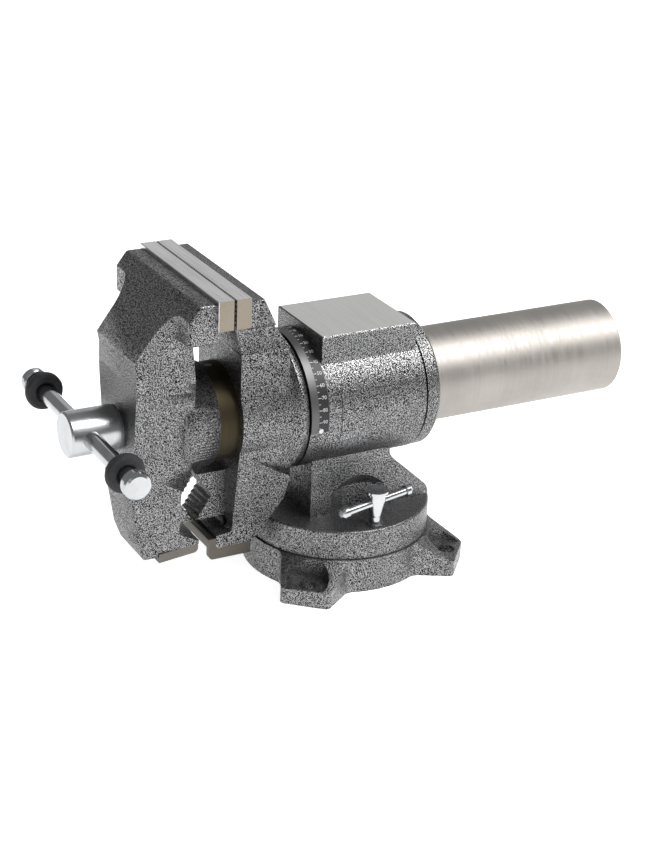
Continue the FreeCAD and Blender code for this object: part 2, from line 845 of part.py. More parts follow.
def make_scale():
    """The degree strip round the front of the barrel, and its two rivets."""
    body = new_body("degree_scale")
    strip = box_outline(side_sketch(body, "strip_outline"),
                        (-S.scale_front, S.barrel_radius),
                        (-S.scale_rear, S.barrel_radius + S.scale_thick))
    turned(body, "Revolution", "strip", strip, "H_Axis", S.scale_angle).Midplane = True
    rivets = []
    for side in (1, -1):
        angle = math.radians(SIZES["rivet_angle"])
        out = FreeCAD.Vector(side * math.cos(angle), 0, math.sin(angle))
        reach = S.barrel_radius + S.scale_thick
        at = (reach * cosine(S.rivet_angle) * side, -S.rivet_place,
              AXIS + reach * sine(S.rivet_angle))
        rivets.append(rod("rivet", S.rivet_radius, S.rivet_proud, at, out))
    return [body, group("scale_rivets", rivets)]


# Lock screws with small sliding bars


def lock_screw(label, axis, at, foot, bar_turn):
    """A clamp screw: stud, tapered hub, cap, and the cross hole for its bar.

    axis points from the clamped side to the cap, at is the foot of the stud and foot is the
    length of the stud below the hub.
    """
    def along(step):
        return [part + step * way for part, way in zip(at, axis)]

    stud = rod(label + "_stud", S.lock_stud, foot + S.lock_taper, at, axis)
    taper = tapered_rod(label + "_taper", S.lock_hub_foot, S.lock_hub_radius, S.lock_taper,
                        along(foot), axis)
    hub = rod(label + "_hub", S.lock_hub_radius, S.lock_hub_height - S.lock_taper,
              along(foot + S.lock_taper), axis)
    cap = rod(label + "_cap", S.lock_cap_radius, S.lock_cap_thick,
              along(foot + S.lock_hub_height - S.lock_cap_thick), axis)
    solid = fuse(label + "_solid", [stud, taper, hub, cap])
    middle = along(foot + S.lock_bar_height)
    start = [part - S.lock_cap_radius * 2 * way for part, way in zip(middle, bar_turn)]
    hole = rod(label + "_hole", S.lock_bar_radius + S.run_fit, S.lock_cap_radius * 4, start,
               bar_turn)
    return cut(label, solid, hole), middle


def lock_bar(label, middle, way):
    """A small bar with two ball-like knobs."""
    start = [part - S.lock_bar_half * step for part, step in zip(middle, way)]
    bar = rod(label, S.lock_bar_radius, S.lock_bar_half * 2, start, way)
    knobs = []
    for side in (1, -1):
        out = FreeCAD.Vector(way).multiply(side)
        foot = [part + S.lock_bar_half * step for part, step in zip(middle, out)]
        top = [part + S.lock_knob_length * step for part, step in zip(foot, out)]
        body = rod(label + "_knob", S.lock_knob_radius, S.lock_knob_length, foot, out)
        crown = tapered_rod(label + "_crown", S.lock_knob_radius, S.lock_knob_crown,
                            S.lock_knob_cap, top, out)
        knobs.append(fuse(label + "_end", [body, crown]))
    return [bar, group(label + "_knobs", knobs)]


def make_base_locks():
    """The two clamp screws that stop the swivel body, with bars and shoes."""
    turn = math.radians(SIZES["lock_bar_turn"])
    way = FreeCAD.Vector(-math.sin(turn), math.cos(turn), 0)
    foot = S.lock_hub_low - S.lock_stud_low
    made = []
    for side, word in ((1, "right"), (-1, "left")):
        at = [S.slot_radius * side, as_size(0), S.lock_stud_low]
        screw, middle = lock_screw("base_lock_screw_" + word, Z_AXIS, at, foot, way)
        made += [screw] + lock_bar("base_lock_bar_" + word, middle, way)
        shoe = new_body("clamp_shoe_" + word)
        block = box_outline(sketch_on(shoe, "XY_Plane", "shoe_outline_" + word, SHOE_LOW),
                            (S.slot_radius * side - S.shoe_half, -S.shoe_long),
                            (S.slot_radius * side + S.shoe_half, S.shoe_long))
        pad(shoe, "shoe_block_" + word, block, S.shoe_height)
        hole = circle(sketch_on(shoe, "XY_Plane", "shoe_hole_" + word, SHOE_LOW),
                      (S.slot_radius * side, 0), S.lock_stud + S.pin_fit)
        pocket(shoe, "shoe_thread_" + word, hole, S.shoe_height, along=True)
        made.append(shoe)
    return made


def make_head_lock():
    """The clamp screw on the far side that stops the head, with its bar and brake pad."""
    turn = math.radians(SIZES["head_lock_turn"])
    way = FreeCAD.Vector(0, math.sin(turn), math.cos(turn))
    inner = S.sleeve_radius + S.seat_gap
    pad_end = inner + S.brake_pad_thick
    foot = S.head_lock_face + S.head_lock_stand - pad_end
    at = [-pad_end, S.head_lock_rear, AXIS]
    screw, middle = lock_screw("head_lock_screw", -X_AXIS, at, foot, way)
    brake = rod("head_lock_pad", S.lock_stud, S.brake_pad_thick,
                [-pad_end, S.head_lock_rear, AXIS], X_AXIS)
    return [screw, brake] + lock_bar("head_lock_bar", middle, way)


# Turning head and rear jaw


def block_corners(points):
    """Points given as (forward of the swivel axis, height over the main axis)."""
    return [(-as_size(forward), as_size(height)) for forward, height in points]


def side_taper(body, word, upper, lower, drop):
    """Cuts both sides of a leg to a slope from the first half width to the second."""
    first = sketch_on(body, "XZ_Plane", word + "_taper_outline", 0, AXIS)
    outline(first, [
        (upper, -S.taper_start),
        (lower, -S.taper_end),
        (lower, -drop),
        (upper + S.jaw_half, -drop),
        (upper + S.jaw_half, -S.taper_start),
    ])
    side = pocket(body, word + "_taper", first, S.jaw_half * 4, along=True)
    mirrored(body, word + "_tapers", [side])


def screw_holes(body, name, face, spots, radius, depth, along):
    """Round holes across the main axis, drilled from a given Y."""
    sketch = front_sketch(body, name + "_outline", face)
    for spot in spots:
        circle(sketch, spot, radius)
    return pocket(body, name, sketch, depth, along=along)


def make_rear_jaw():
    """The turning head: sleeve, flange, neck, wings and hook in one casting."""
    body = new_body("rear_jaw")
    neck = outline(side_sketch(body, "rear_neck_outline", -S.neck_half), block_corners([
        (NECK_FRONT, S.rear_neck_under),
        (S.rear_neck_back, S.rear_neck_under),
        (S.shin_back, -S.taper_start),
        (S.calf_back, -S.calf_low),
        (S.shin_back, -S.shin_low),
        (FOOT_HEEL, -S.heel_low),
        (REAR_FOOT_BACK, -REAR_SOLE),
        (HOOK_TIP, -REAR_SOLE),
        (HOOK_TIP, -S.hook_tip_top),
        (NECK_FRONT, -S.hook_top),
    ]))
    pad(body, "rear_neck", neck, S.neck_half * 2)
    side_taper(body, "rear", S.neck_half, S.rear_foot_half, S.jaw_height)

    def hook_edges(edge, middle, direction):
        return abs(direction.x) > STRAIGHT and near(middle.y, -NECK_FRONT) and (
            near(middle.z, AXIS - S.hook_top))

    fillet(body, "rear_hook_round", S.hook_round, hook_edges)
    wing = [(-REAR_SEAT, REAR_TOP), (REAR_HEAD_BACK, REAR_TOP),
            (REAR_END_BACK, S.rear_end_under), (-REAR_SEAT, S.rear_end_under)]
    root = [(-REAR_SEAT, REAR_TOP), (REAR_HEAD_BACK, REAR_TOP),
            (S.rear_neck_back, S.rear_neck_under), (NECK_FRONT, S.rear_neck_under)]
    head_loft(body, "rear", wing, root, S.jaw_half, S.neck_half)

    def outer_edges(edge, middle, direction):
        return near(abs(middle.x), S.jaw_half) and middle.y > REAR_SEAT.value + CLOSE

    fillet(body, "rear_wing_round", S.casting_round, outer_edges)
    collar = outline(side_sketch(body, "head_profile"), [
        (SLEEVE_END, 0),
        (SLEEVE_END, S.sleeve_radius),
        (FLANGE_BACK, S.sleeve_radius),
        (FLANGE_BACK, S.barrel_radius),
        (-S.flange_front, S.barrel_radius),
        (-S.cone_front, S.boss_radius),
        (-NECK_FRONT, S.boss_radius),
        (-NECK_FRONT, 0),
    ])
    turned(body, "Revolution", "head_turned", collar)
    slide = circle(front_sketch(body, "slide_bore_outline", SLEEVE_END), (0, 0), SLIDE_BORE)
    pocket(body, "slide_bore", slide, SLEEVE_END + S.jaw_height, along=True)
    key = box_outline(sketch_on(body, "XY_Plane", "key_seat_outline", AXIS),
                      (-S.key_half - S.pin_fit, KEY_FRONT - S.pin_fit),
                      (S.key_half + S.pin_fit, KEY_REAR + S.pin_fit))
    pocket(body, "key_seat", key, S.key_depth + S.pin_fit)
    key_screw = circle(sketch_on(body, "XY_Plane", "key_screw_outline", AXIS),
                       (0, KEY_MIDDLE), S.key_screw_radius + S.pin_fit)
    pocket(body, "key_screw_hole", key_screw, S.sleeve_radius * 2)
    sunk = circle(sketch_on(body, "XY_Plane", "key_screw_sink_outline",
                            AXIS - S.sleeve_radius - S.run_fit),
                  (0, KEY_MIDDLE), S.key_screw_head + S.seat_gap)
    pocket(body, "key_screw_sink", sunk, S.key_screw_sink, along=True)
    screw_holes(body, "rear_plate_holes", REAR_SEAT, PLATE_SPOTS,
                S.plate_screw_radius + S.pin_fit, S.plate_screw_hole, False)
    screw_holes(body, "rear_pipe_hole", -NECK_FRONT, [(0, PIPE_MIDDLE)],
                S.pipe_screw_radius + S.pin_fit, S.pipe_screw_length, False)
    screw_holes(body, "cap_holes", SLEEVE_END, CAP_SPOTS,
                S.cap_screw_radius + S.pin_fit, S.cap_screw_length, True)
    sole_holes(body, "rear", AXIS - REAR_SOLE, REAR_SOLE_Y)
    return [body]


def head_loft(body, word, wing, root, wing_half, root_half):
    """The head of a jaw: straight between the roots and drawn in towards both ends."""
    sections = []
    for index, (points, place) in enumerate((
            (wing, -wing_half), (root, -root_half), (root, root_half), (wing, wing_half))):
        sketch = side_sketch(body, "%s_head_section_%d" % (word, index), place)
        outline(sketch, block_corners(points))
        sketch.Visibility = False
        sections.append(sketch)
    loft = body.newObject("PartDesign::AdditiveLoft", word + "_head")
    loft.Profile = sections[0]
    loft.Sections = sections[1:]
    loft.Ruled = True
    body.Tip = loft
    return loft


def sole_holes(body, word, level, place):
    """Blind holes up into a jaw's foot for the screws of its bottom plate."""
    sketch = sketch_on(body, "XY_Plane", word + "_sole_hole_outline", level)
    for side in (1, -1):
        circle(sketch, (S.sole_screw_span / 2 * side, place), S.sole_screw_radius + S.pin_fit)
    pocket(body, word + "_sole_holes", sketch, S.sole_screw_length, along=True)


def make_jaw_plate(label, back, front):
    """A ground steel jaw plate, screwed to its jaw from the gripping side."""
    body = new_body(label)
    rear_side = back.value > front.value
    away = back if rear_side else front
    sketch = box_outline(front_sketch(body, label + "_outline", away),
                         (-S.plate_half, PLATE_LOW), (S.plate_half, PLATE_TOP))
    pad(body, label + "_block", sketch, S.plate_thick)
    chamfer(body, label + "_edges", S.plate_edge,
            lambda edge, middle, direction: abs(direction.x) > STRAIGHT or
            abs(direction.z) > STRAIGHT)
    shank = front_sketch(body, label + "_hole_outline", away)
    sink = front_sketch(body, label + "_sink_outline", front)
    for spot in PLATE_SPOTS:
        circle(shank, spot, S.plate_screw_radius + S.pin_fit)
        circle(sink, spot, S.plate_screw_head + S.seat_gap)
    pocket(body, label + "_holes", shank, S.plate_thick, along=True)
    pocket(body, label + "_sinks", sink, S.plate_screw_head_height + S.plate_screw_sunk,
           along=not rear_side)
    return [body]


def cap_screw(name, at, way, head, head_height, shank, length, hexagon_half):
    """A socket screw: at is the outer face of its head, way points into the work."""
    start = [part + head_height * step for part, step in zip(at, way)]
    solid = fuse(name + "_solid", [
        rod(name + "_head", head, head_height, at, way),
        rod(name + "_shank", shank, length - head_height, start, way),
    ])
    socket = hexagon(name + "_socket", hexagon_half, head_height * S.socket_share, at, way)
    return cut(name, solid, socket)


def make_plate_screws(label, front, way):
    """Two socket screws through one jaw plate."""
    screws = []
    for number, (across, level) in enumerate(PLATE_SPOTS):
        at = [as_size(across), front + S.plate_screw_sunk * way.y, AXIS + level]
        screws.append(cap_screw("%s_%d" % (label, number), at, way, S.plate_screw_head,
                                S.plate_screw_head_height, S.plate_screw_radius,
                                S.plate_screw_length, S.plate_screw_socket))
    return [group(label, screws)]


def make_rear_sole():
    """The small lower jaw plate of the rear jaw, with its raised lip, and its screws."""
    body = new_body("rear_bottom_plate")
    profile = outline(side_sketch(body, "rear_sole_outline", -S.sole_half), block_corners([
        (REAR_FOOT_BACK, -REAR_SOLE),
        (HOOK_TIP, -REAR_SOLE),
        (HOOK_TIP, -S.sole_lip_top),
        (SOLE_LIP_FRONT, -S.sole_lip_top),
        (SOLE_LIP_FRONT, -REAR_SOLE - S.rear_sole_thick),
        (REAR_FOOT_BACK, -REAR_SOLE - S.rear_sole_thick),
    ]))
    pad(body, "rear_sole", profile, S.sole_half * 2)
    fillet(body, "rear_sole_corner", S.sole_corner,
           lambda edge, middle, direction: near(middle.y, -SOLE_LIP_FRONT) and
           near(middle.z, AXIS - REAR_SOLE - S.rear_sole_thick))
    chamfer(body, "rear_lip_edge", S.plate_edge,
            lambda edge, middle, direction: near(middle.z, AXIS - S.sole_lip_top) and
            abs(direction.x) > STRAIGHT)
    low = AXIS - REAR_SOLE - S.rear_sole_thick
    return [body] + sole_screws(body, "rear", low, REAR_SOLE_Y, S.rear_sole_thick)


def sole_screws(body, word, low, place, thick):
    """Sunk screws up through a bottom plate."""
    hole = sketch_on(body, "XY_Plane", word + "_sole_bore_outline", low)
    sink = sketch_on(body, "XY_Plane", word + "_sole_sink_outline", low)
    screws = []
    for side in (1, -1):
        across = S.sole_screw_span / 2 * side
        circle(hole, (across, place), S.sole_screw_radius + S.pin_fit)
        circle(sink, (across, place), S.sole_screw_head + S.seat_gap)
        name = "%s_sole_screw_%s" % (word, "right" if side > 0 else "left")
        screws.append(cap_screw(name, [across, place, low + S.sole_screw_sunk], Z_AXIS,
                                S.sole_screw_head, S.sole_screw_head_height,
                                S.sole_screw_radius, S.sole_screw_length, S.sole_screw_socket))
    pocket(body, word + "_sole_bores", hole, thick * 2, along=True)
    pocket(body, word + "_sole_sinks", sink, S.sole_screw_head_height + S.sole_screw_sunk,
           along=True)
    return [group(word + "_bottom_screws", screws)]


def vee_points(face, way):
    """The toothed outline of a pipe jaw's notch, from its upper edge to its lower one."""
    flank = (S.pipe_jaw_low - S.pipe_jaw_top) / 2 - S.pipe_jaw_lip
    step_in = S.vee_depth / TEETH
    step_on = flank / TEETH
    upper = []
    for tooth in range(TEETH):
        deep = face + step_in * tooth * way
        level = PIPE_MIDDLE + flank - step_on * tooth
        upper.append((deep, level))
        upper.append((deep + step_in * way * TOOTH_LEAN, level - step_on * TOOTH_BITE))
    apex = [(face + S.vee_depth * way, PIPE_MIDDLE)]
    lower = [(deep, PIPE_MIDDLE * 2 - level) for deep, level in reversed(upper)]
    return upper + apex + lower


def make_pipe_jaw(label, face, back, way):
    """A small toothed V block for pipes, held by a screw through the bottom of the V."""
    body = new_body(label)
    corners = [(back, -S.pipe_jaw_top), (face, -S.pipe_jaw_top)]
    corners += vee_points(face, way)
    corners += [(face, -S.pipe_jaw_low), (back, -S.pipe_jaw_low)]
    sketch = outline(side_sketch(body, label + "_outline", -S.pipe_jaw_half), corners)
    pad(body, label + "_block", sketch, S.pipe_jaw_half * 2)
    seat_at = face + (S.vee_depth + S.pipe_screw_head_height) * way
    opens_rear = way < 0
    sink = front_sketch(body, label + "_sink_outline", seat_at)
    circle(sink, (0, PIPE_MIDDLE), S.pipe_screw_head + S.seat_gap)
    pocket(body, label + "_sink", sink, S.vee_depth, along=not opens_rear)
    hole = front_sketch(body, label + "_hole_outline", face)
    circle(hole, (0, PIPE_MIDDLE), S.pipe_screw_radius + S.pin_fit)
    pocket(body, label + "_hole", hole, FRONT_PIPE_BACK, along=opens_rear)
    out = FreeCAD.Vector(0, way, 0)
    start = [as_size(0), seat_at - S.pipe_screw_head_height * way, AXIS + PIPE_MIDDLE]
    length = S.pipe_screw_head_height + S.pipe_screw_length
    screw = cap_screw(label + "_screw", start, out, S.pipe_screw_head,
                      S.pipe_screw_head_height, S.pipe_screw_radius, length,
                      S.pipe_screw_socket)
    return [body, screw]


def make_cap_ring():
    """The ring that closes the rear of the barrel, and its screws."""
    body = new_body("rear_cap_ring")
    ring = outline(side_sketch(body, "ring_profile"), [
        (SLEEVE_END, SLIDE_BORE),
        (SLEEVE_END + S.cap_ring_width, SLIDE_BORE),
        (SLEEVE_END + S.cap_ring_width, S.cap_ring_radius - S.cap_ring_bevel),
        (SLEEVE_END + S.cap_ring_width - S.cap_ring_bevel, S.cap_ring_radius),
        (SLEEVE_END, S.cap_ring_radius),
    ])
    turned(body, "Revolution", "ring", ring)
    back = SLEEVE_END + S.cap_ring_width
    screw_holes(body, "ring_holes", back, CAP_SPOTS, S.cap_screw_radius + S.pin_fit,
                S.cap_ring_width, True)
    screw_holes(body, "ring_sinks", back, CAP_SPOTS, S.cap_screw_head + S.seat_gap,
                S.cap_screw_head_height, True)
    screws = []
    for number, (across, level) in enumerate(CAP_SPOTS):
        screws.append(cap_screw("cap_ring_screw_%d" % number, [across, back, AXIS + level],
                                -Y_AXIS, S.cap_screw_head, S.cap_screw_head_height,
                                S.cap_screw_radius, S.cap_ring_width + S.cap_screw_bite,
                                S.cap_screw_socket))
    return [body, group("cap_ring_screws", screws)]


def make_nut():
    """The fixed nut inside the tube, its key and the screw that holds the key."""
    body = new_body("spindle_nut")
    disc = circle(front_sketch(body, "nut_outline", NUT_REAR), (0, 0), S.nut_radius)
    pad(body, "nut", disc, S.nut_length)
    leg = box_outline(sketch_on(body, "XY_Plane", "key_outline", AXIS - S.key_depth),
                      (-S.key_half, KEY_FRONT), (S.key_half, KEY_REAR))
    pad(body, "key", leg, S.key_depth - S.nut_radius / 2)
    thread = circle(front_sketch(body, "nut_thread_outline", NUT_REAR), (0, 0),
                    S.thread_radius + S.run_fit)
    pocket(body, "nut_thread", thread, S.nut_length, along=True)
    tapped = circle(sketch_on(body, "XY_Plane", "key_thread_outline", AXIS - S.key_depth),
                    (0, KEY_MIDDLE), S.key_screw_radius + S.pin_fit)
    pocket(body, "key_thread", tapped, S.key_screw_length, along=True)
    screw = cap_screw("key_screw", [as_size(0), KEY_MIDDLE,
                                    AXIS - S.sleeve_radius + S.seat_gap],
                      Z_AXIS, S.key_screw_head, S.key_screw_head_height, S.key_screw_radius,
                      S.key_screw_length, S.key_screw_socket)
    return [body, screw]


# Moving jaw, slide tube and spindle


def make_front_jaw():
    """The moving jaw: nose, wings, tapered leg with its hook, boss and spigot."""
    body = new_body("front_jaw")
    levels = [
        (S.nose_height, S.nose_half, S.neck_half, CHEST_FRONT),
        (S.waist_level, S.nose_half, S.neck_half, CHEST_FRONT),
        (-S.thigh_low, S.thigh_half_front, S.thigh_half_back, CHEST_FRONT),
        (-S.knee_low, S.knee_half_front, S.knee_half_back, KNEE_FRONT),
        (-S.toe_low, S.toe_half_front, S.toe_half_back, TOE_FRONT),
    ]
    sections = []
    for index, (level, front_half, back_half, front) in enumerate(levels):
        sketch = sketch_on(body, "XY_Plane", "leg_section_%d" % index, AXIS + level)
        outline(sketch, [
            (-front_half, -front), (front_half, -front),
            (back_half, -FRONT_HOOK_TIP), (-back_half, -FRONT_HOOK_TIP),
        ])
        sketch.Visibility = False
        sections.append(sketch)
    leg = body.newObject("PartDesign::AdditiveLoft", "front_leg")
    leg.Profile = sections[0]
    leg.Sections = sections[1:]
    leg.Ruled = True
    body.Tip = leg
    beyond = FRONT_HOOK_TIP - S.cut_past
    back = outline(side_sketch(body, "front_back_outline", -S.jaw_half), block_corners([
        (beyond, S.nose_height * 2),
        (FRONT_LEG_BACK, S.nose_height * 2),
        (FRONT_LEG_BACK, -S.notch_top),
        (FRONT_PIPE_BACK, -S.notch_corner),
        (FRONT_PIPE_BACK, -S.notch_low),
        (FRONT_HOOK_TIP + S.front_hook_nose, -S.front_hook_top),
        (beyond, -S.front_hook_top),
    ]))
    pocket(body, "front_back", back, S.jaw_half * 2, along=True)
    fall = (FRONT_SOLE_FRONT - FRONT_HOOK_TIP) * SOLE_SLOPE
    under = outline(side_sketch(body, "front_under_outline", -S.jaw_half), block_corners([
        (beyond, -S.front_sole_top + S.cut_past * SOLE_SLOPE),
        (FRONT_SOLE_FRONT, -S.front_sole_top - fall),
        (FRONT_SOLE_FRONT, -S.toe_bottom),
        (NOSE_FRONT + S.cut_past, -S.toe_bottom),
        (NOSE_FRONT + S.cut_past, -S.toe_low - S.cut_past),
        (beyond, -S.toe_low - S.cut_past),
    ]))
    pocket(body, "front_under", under, S.jaw_half * 2, along=True)
    wing = [(-FRONT_SEAT, FRONT_TOP), (BROW_FRONT, FRONT_TOP),
            (END_FRONT, FRONT_TOP - S.end_bevel), (END_FRONT, S.front_end_under),
            (-FRONT_SEAT, S.front_end_under)]
    root = [(-FRONT_SEAT, FRONT_TOP), (BROW_FRONT, FRONT_TOP),
            (NOSE_FRONT, S.nose_height), (CHEST_FRONT, S.front_neck_under),
            (FRONT_LEG_BACK, S.front_neck_under)]
    head_loft(body, "front", wing, root, S.front_jaw_half, S.nose_half)

    def outer_edges(edge, middle, direction):
        return near(abs(middle.x), S.front_jaw_half) and middle.y < FRONT_SEAT.value - CLOSE

    fillet(body, "front_wing_round", S.casting_round, outer_edges)
    boss = outline(side_sketch(body, "front_boss_profile"), [
        (-FRONT_PIPE_BACK, 0),
        (-FRONT_PIPE_BACK, S.front_boss_radius),
        (-FRONT_BOSS_END, S.front_boss_radius),
        (-FRONT_BOSS_END, TUBE_BORE - S.pin_fit),
        (-FRONT_BOSS_END + S.spigot_length, TUBE_BORE - S.pin_fit),
        (-FRONT_BOSS_END + S.spigot_length, 0),
    ])
    turned(body, "Revolution", "front_boss", boss)
    chamber = circle(front_sketch(body, "chamber_outline", -FRONT_BOSS_END + S.spigot_length),
                     (0, 0), S.chamber_radius)
    pocket(body, "chamber", chamber, CHAMBER_FRONT - FRONT_BOSS_END + S.spigot_length,
           along=True)
    bore = circle(front_sketch(body, "spindle_bore_outline", -CHAMBER_FRONT), (0, 0),
                  S.spindle_radius + S.run_fit)
    pocket(body, "spindle_bore", bore, NOSE_FRONT - CHAMBER_FRONT, along=True)
    screw_holes(body, "front_plate_holes", FRONT_SEAT, PLATE_SPOTS,
                S.plate_screw_radius + S.pin_fit, S.plate_screw_hole, True)
    seat = box_outline(front_sketch(body, "pipe_seat_outline", -FRONT_PIPE_BACK),
                       (-S.pipe_jaw_half - S.seat_gap, -S.pipe_jaw_low - S.seat_gap),
                       (S.pipe_jaw_half + S.seat_gap, -S.pipe_jaw_top + S.seat_gap))
    pocket(body, "pipe_seat", seat, S.cut_past)
    screw_holes(body, "front_pipe_hole", -FRONT_PIPE_BACK, [(0, PIPE_MIDDLE)],
                S.pipe_screw_radius + S.pin_fit, S.pipe_screw_length, True)
    pins = circle(sketch_on(body, "XY_Plane", "tube_pin_outline", AXIS), (0, TUBE_PIN_Y),
                  S.tube_pin_radius + S.pin_fit)
    pocket(body, "tube_pin_holes", pins, S.tube_radius * 2).Midplane = True
    sole_holes(body, "front", AXIS - S.toe_bottom, FRONT_SOLE_Y)
    return [body]


def make_front_sole():
    """The bottom plate of the moving jaw, tilted with the foot, and its screws."""
    body = new_body("front_bottom_plate")
    fall = (FRONT_SOLE_FRONT - FRONT_HOOK_TIP) * SOLE_SLOPE
    thick = S.front_sole_thick
    profile = outline(side_sketch(body, "front_sole_outline", -S.front_sole_half),
                      block_corners([
                          (FRONT_HOOK_TIP, -S.front_sole_top),
                          (FRONT_SOLE_FRONT, -S.front_sole_top - fall),
                          (FRONT_SOLE_FRONT, -S.front_sole_top - fall - thick),
                          (FRONT_HOOK_TIP, -S.front_sole_top - thick),
                      ]))
    pad(body, "front_sole", profile, S.front_sole_half * 2)
    fillet(body, "front_sole_corner", S.sole_corner,
           lambda edge, middle, direction: near(middle.y, -FRONT_HOOK_TIP) and
           near(middle.z, AXIS - S.front_sole_top - thick))
    low = AXIS - S.front_sole_top - fall - thick
    return [body] + sole_screws(body, "front", low, FRONT_SOLE_Y, thick + fall)


def make_slide_tube():
    """The round slide with its key slot, and the pins that fix it to the moving jaw."""
    body = new_body("slide_tube")
    wall = outline(side_sketch(body, "tube_profile"), [
        (-FRONT_BOSS_END, TUBE_BORE),
        (S.tube_end, TUBE_BORE),
        (S.tube_end, S.tube_radius - S.tube_edge),
        (S.tube_end - S.tube_edge, S.tube_radius),
        (-FRONT_BOSS_END, S.tube_radius),
    ])
    turned(body, "Revolution", "tube", wall)
    slot = box_outline(sketch_on(body, "XY_Plane", "slot_outline", AXIS),
                       (-S.key_half - S.slot_gap, KEY_FRONT - S.slot_gap),
                       (S.key_half + S.slot_gap, KEY_REAR + S.jaw_travel + S.slot_gap))
    pocket(body, "key_slot", slot, S.barrel_radius)
    holes = circle(sketch_on(body, "XY_Plane", "pin_hole_outline", AXIS), (0, TUBE_PIN_Y),
                   S.tube_pin_radius + S.pin_fit)
    pocket(body, "pin_holes", holes, S.barrel_radius * 2).Midplane = True
    foot = S.tube_radius - S.tube_pin_length - S.tube_pin_sunk
    pins = [rod("tube_pin", S.tube_pin_radius, S.tube_pin_length,
                (0, TUBE_PIN_Y, AXIS + foot * side), FreeCAD.Vector(0, 0, side))
            for side in (1, -1)]
    return [body, group("tube_pins", pins)]


def make_spindle():
    """The main screw with its head, and the washer, collar and pin that carry its thrust."""
    body = new_body("spindle")
    profile = outline(side_sketch(body, "spindle_profile"), [
        (-SPINDLE_FRONT, 0),
        (-SPINDLE_FRONT, S.spindle_head - S.spindle_edge),
        (-SPINDLE_FRONT + S.spindle_edge, S.spindle_head),
        (HEAD_BACK, S.spindle_head),
        (HEAD_BACK, S.spindle_radius),
        (COLLAR_FRONT, S.spindle_radius),
        (COLLAR_FRONT, S.thread_radius),
        (SPINDLE_TIP - S.spindle_edge, S.thread_radius),
        (SPINDLE_TIP, S.thread_radius - S.spindle_edge),
        (SPINDLE_TIP, 0),
    ])
    turned(body, "Revolution", "spindle_turned", profile)
    hole = circle(side_sketch(body, "bar_hole_outline"), (-HANDLE_PLACE, 0),
                  S.handle_radius + S.run_fit)
    pocket(body, "bar_hole", hole, S.spindle_head * 4).Midplane = True
    cross = circle(side_sketch(body, "collar_pin_outline"), (COLLAR_MIDDLE, 0),
                   S.collar_pin_radius + S.pin_fit)
    pocket(body, "collar_pin_hole", cross, S.collar_radius * 4).Midplane = True
    back = (0, HEAD_BACK, AXIS)
    washer = cut("thrust_washer",
                 rod("washer_disc", S.thrust_washer, S.thrust_washer_thick, back, Y_AXIS),
                 rod("washer_hole", S.spindle_radius + S.pin_fit, S.thrust_washer_thick, back,
                     Y_AXIS))
    collar = new_body("spindle_collar")
    ring = box_outline(side_sketch(collar, "collar_profile"),
                       (COLLAR_FRONT, S.thread_radius + S.pin_fit),
                       (COLLAR_FRONT + S.collar_width, S.collar_radius))
    turned(collar, "Revolution", "collar", ring)
    through = circle(side_sketch(collar, "collar_hole_outline"), (COLLAR_MIDDLE, 0),
                     S.collar_pin_radius + S.pin_fit)
    pocket(collar, "collar_hole", through, S.collar_radius * 4).Midplane = True
    half = S.collar_radius - S.spindle_edge
    pin = rod("collar_pin", S.collar_pin_radius, half * 2, (-half, COLLAR_MIDDLE, AXIS), X_AXIS)
    return [body, washer, collar, pin]


def turned_on_bar(label, shape):
    """A piece turned about the handle bar; the body's own origin is the middle of the bar."""
    body = new_body(label)
    body.setExpression("Placement.Base.y", (-HANDLE_PLACE).text)
    body.setExpression("Placement.Base.z", AXIS.text)
    sketch = outline(sketch_on(body, "XY_Plane", label + "_profile"), shape)
    turned(body, "Revolution", label + "_turned", sketch)
    return body


def make_handle():
    """The sliding bar of the spindle with its end knobs and rubber rings."""
    stub = S.knob_length - S.knob_face
    bar = turned_on_bar("handle_bar", [
        (-S.handle_far - stub, 0),
        (-S.handle_far - stub, S.knob_stub),
        (-S.handle_far, S.knob_stub),
        (-S.handle_far, S.handle_radius),
        (S.handle_near, S.handle_radius),
        (S.handle_near, S.knob_stub),
        (S.handle_near + stub, S.knob_stub),
        (S.handle_near + stub, 0),
    ])
    bore = S.knob_stub + S.pin_fit
    hold = S.handle_radius + S.pin_fit
    wide = S.knob_radius
    knob = [
        (0, bore),
        (0, S.knob_neck),
        (S.knob_neck_length, S.knob_neck),
        (S.knob_neck_length, wide - S.knob_bevel),
        (S.knob_neck_length + S.knob_bevel, wide),
        (S.knob_length - S.knob_round, wide),
        (S.knob_length - S.knob_round * EASE, wide - S.knob_round * EASE),
        (S.knob_length, wide - S.knob_round),
        (S.knob_length, 0),
        (stub, 0),
        (stub, bore),
    ]
    rubber = [
        (0, S.ring_cup),
        (0, S.ring_radius - S.ring_round),
        (S.ring_round * EASE, S.ring_radius - S.ring_round * EASE),
        (S.ring_round, S.ring_radius),
        (S.ring_width - S.ring_round, S.ring_radius),
        (S.ring_width - S.ring_round * EASE, S.ring_radius - S.ring_round * EASE),
        (S.ring_width, S.ring_radius - S.ring_round),
        (S.ring_width, S.ring_cup),
        (S.ring_width - S.ring_cup_depth, hold),
        (S.ring_cup_depth, hold),
    ]
    knobs = []
    rings = []
    for side, word, inner in ((1, "near", S.handle_near), (-1, "far", S.handle_far)):
        shape = [((inner + along) * side, out) for along, out in knob]
        knobs.append(turned_on_bar("handle_knob_" + word, shape))
        start = inner - S.ring_stand - S.ring_width
        shape = [((start + along) * side, out) for along, out in rubber]
        rings.append(turned_on_bar("handle_ring_" + word, shape))
    return [bar, group("handle_knobs", knobs), group("handle_rings", rings)]


# Assembly


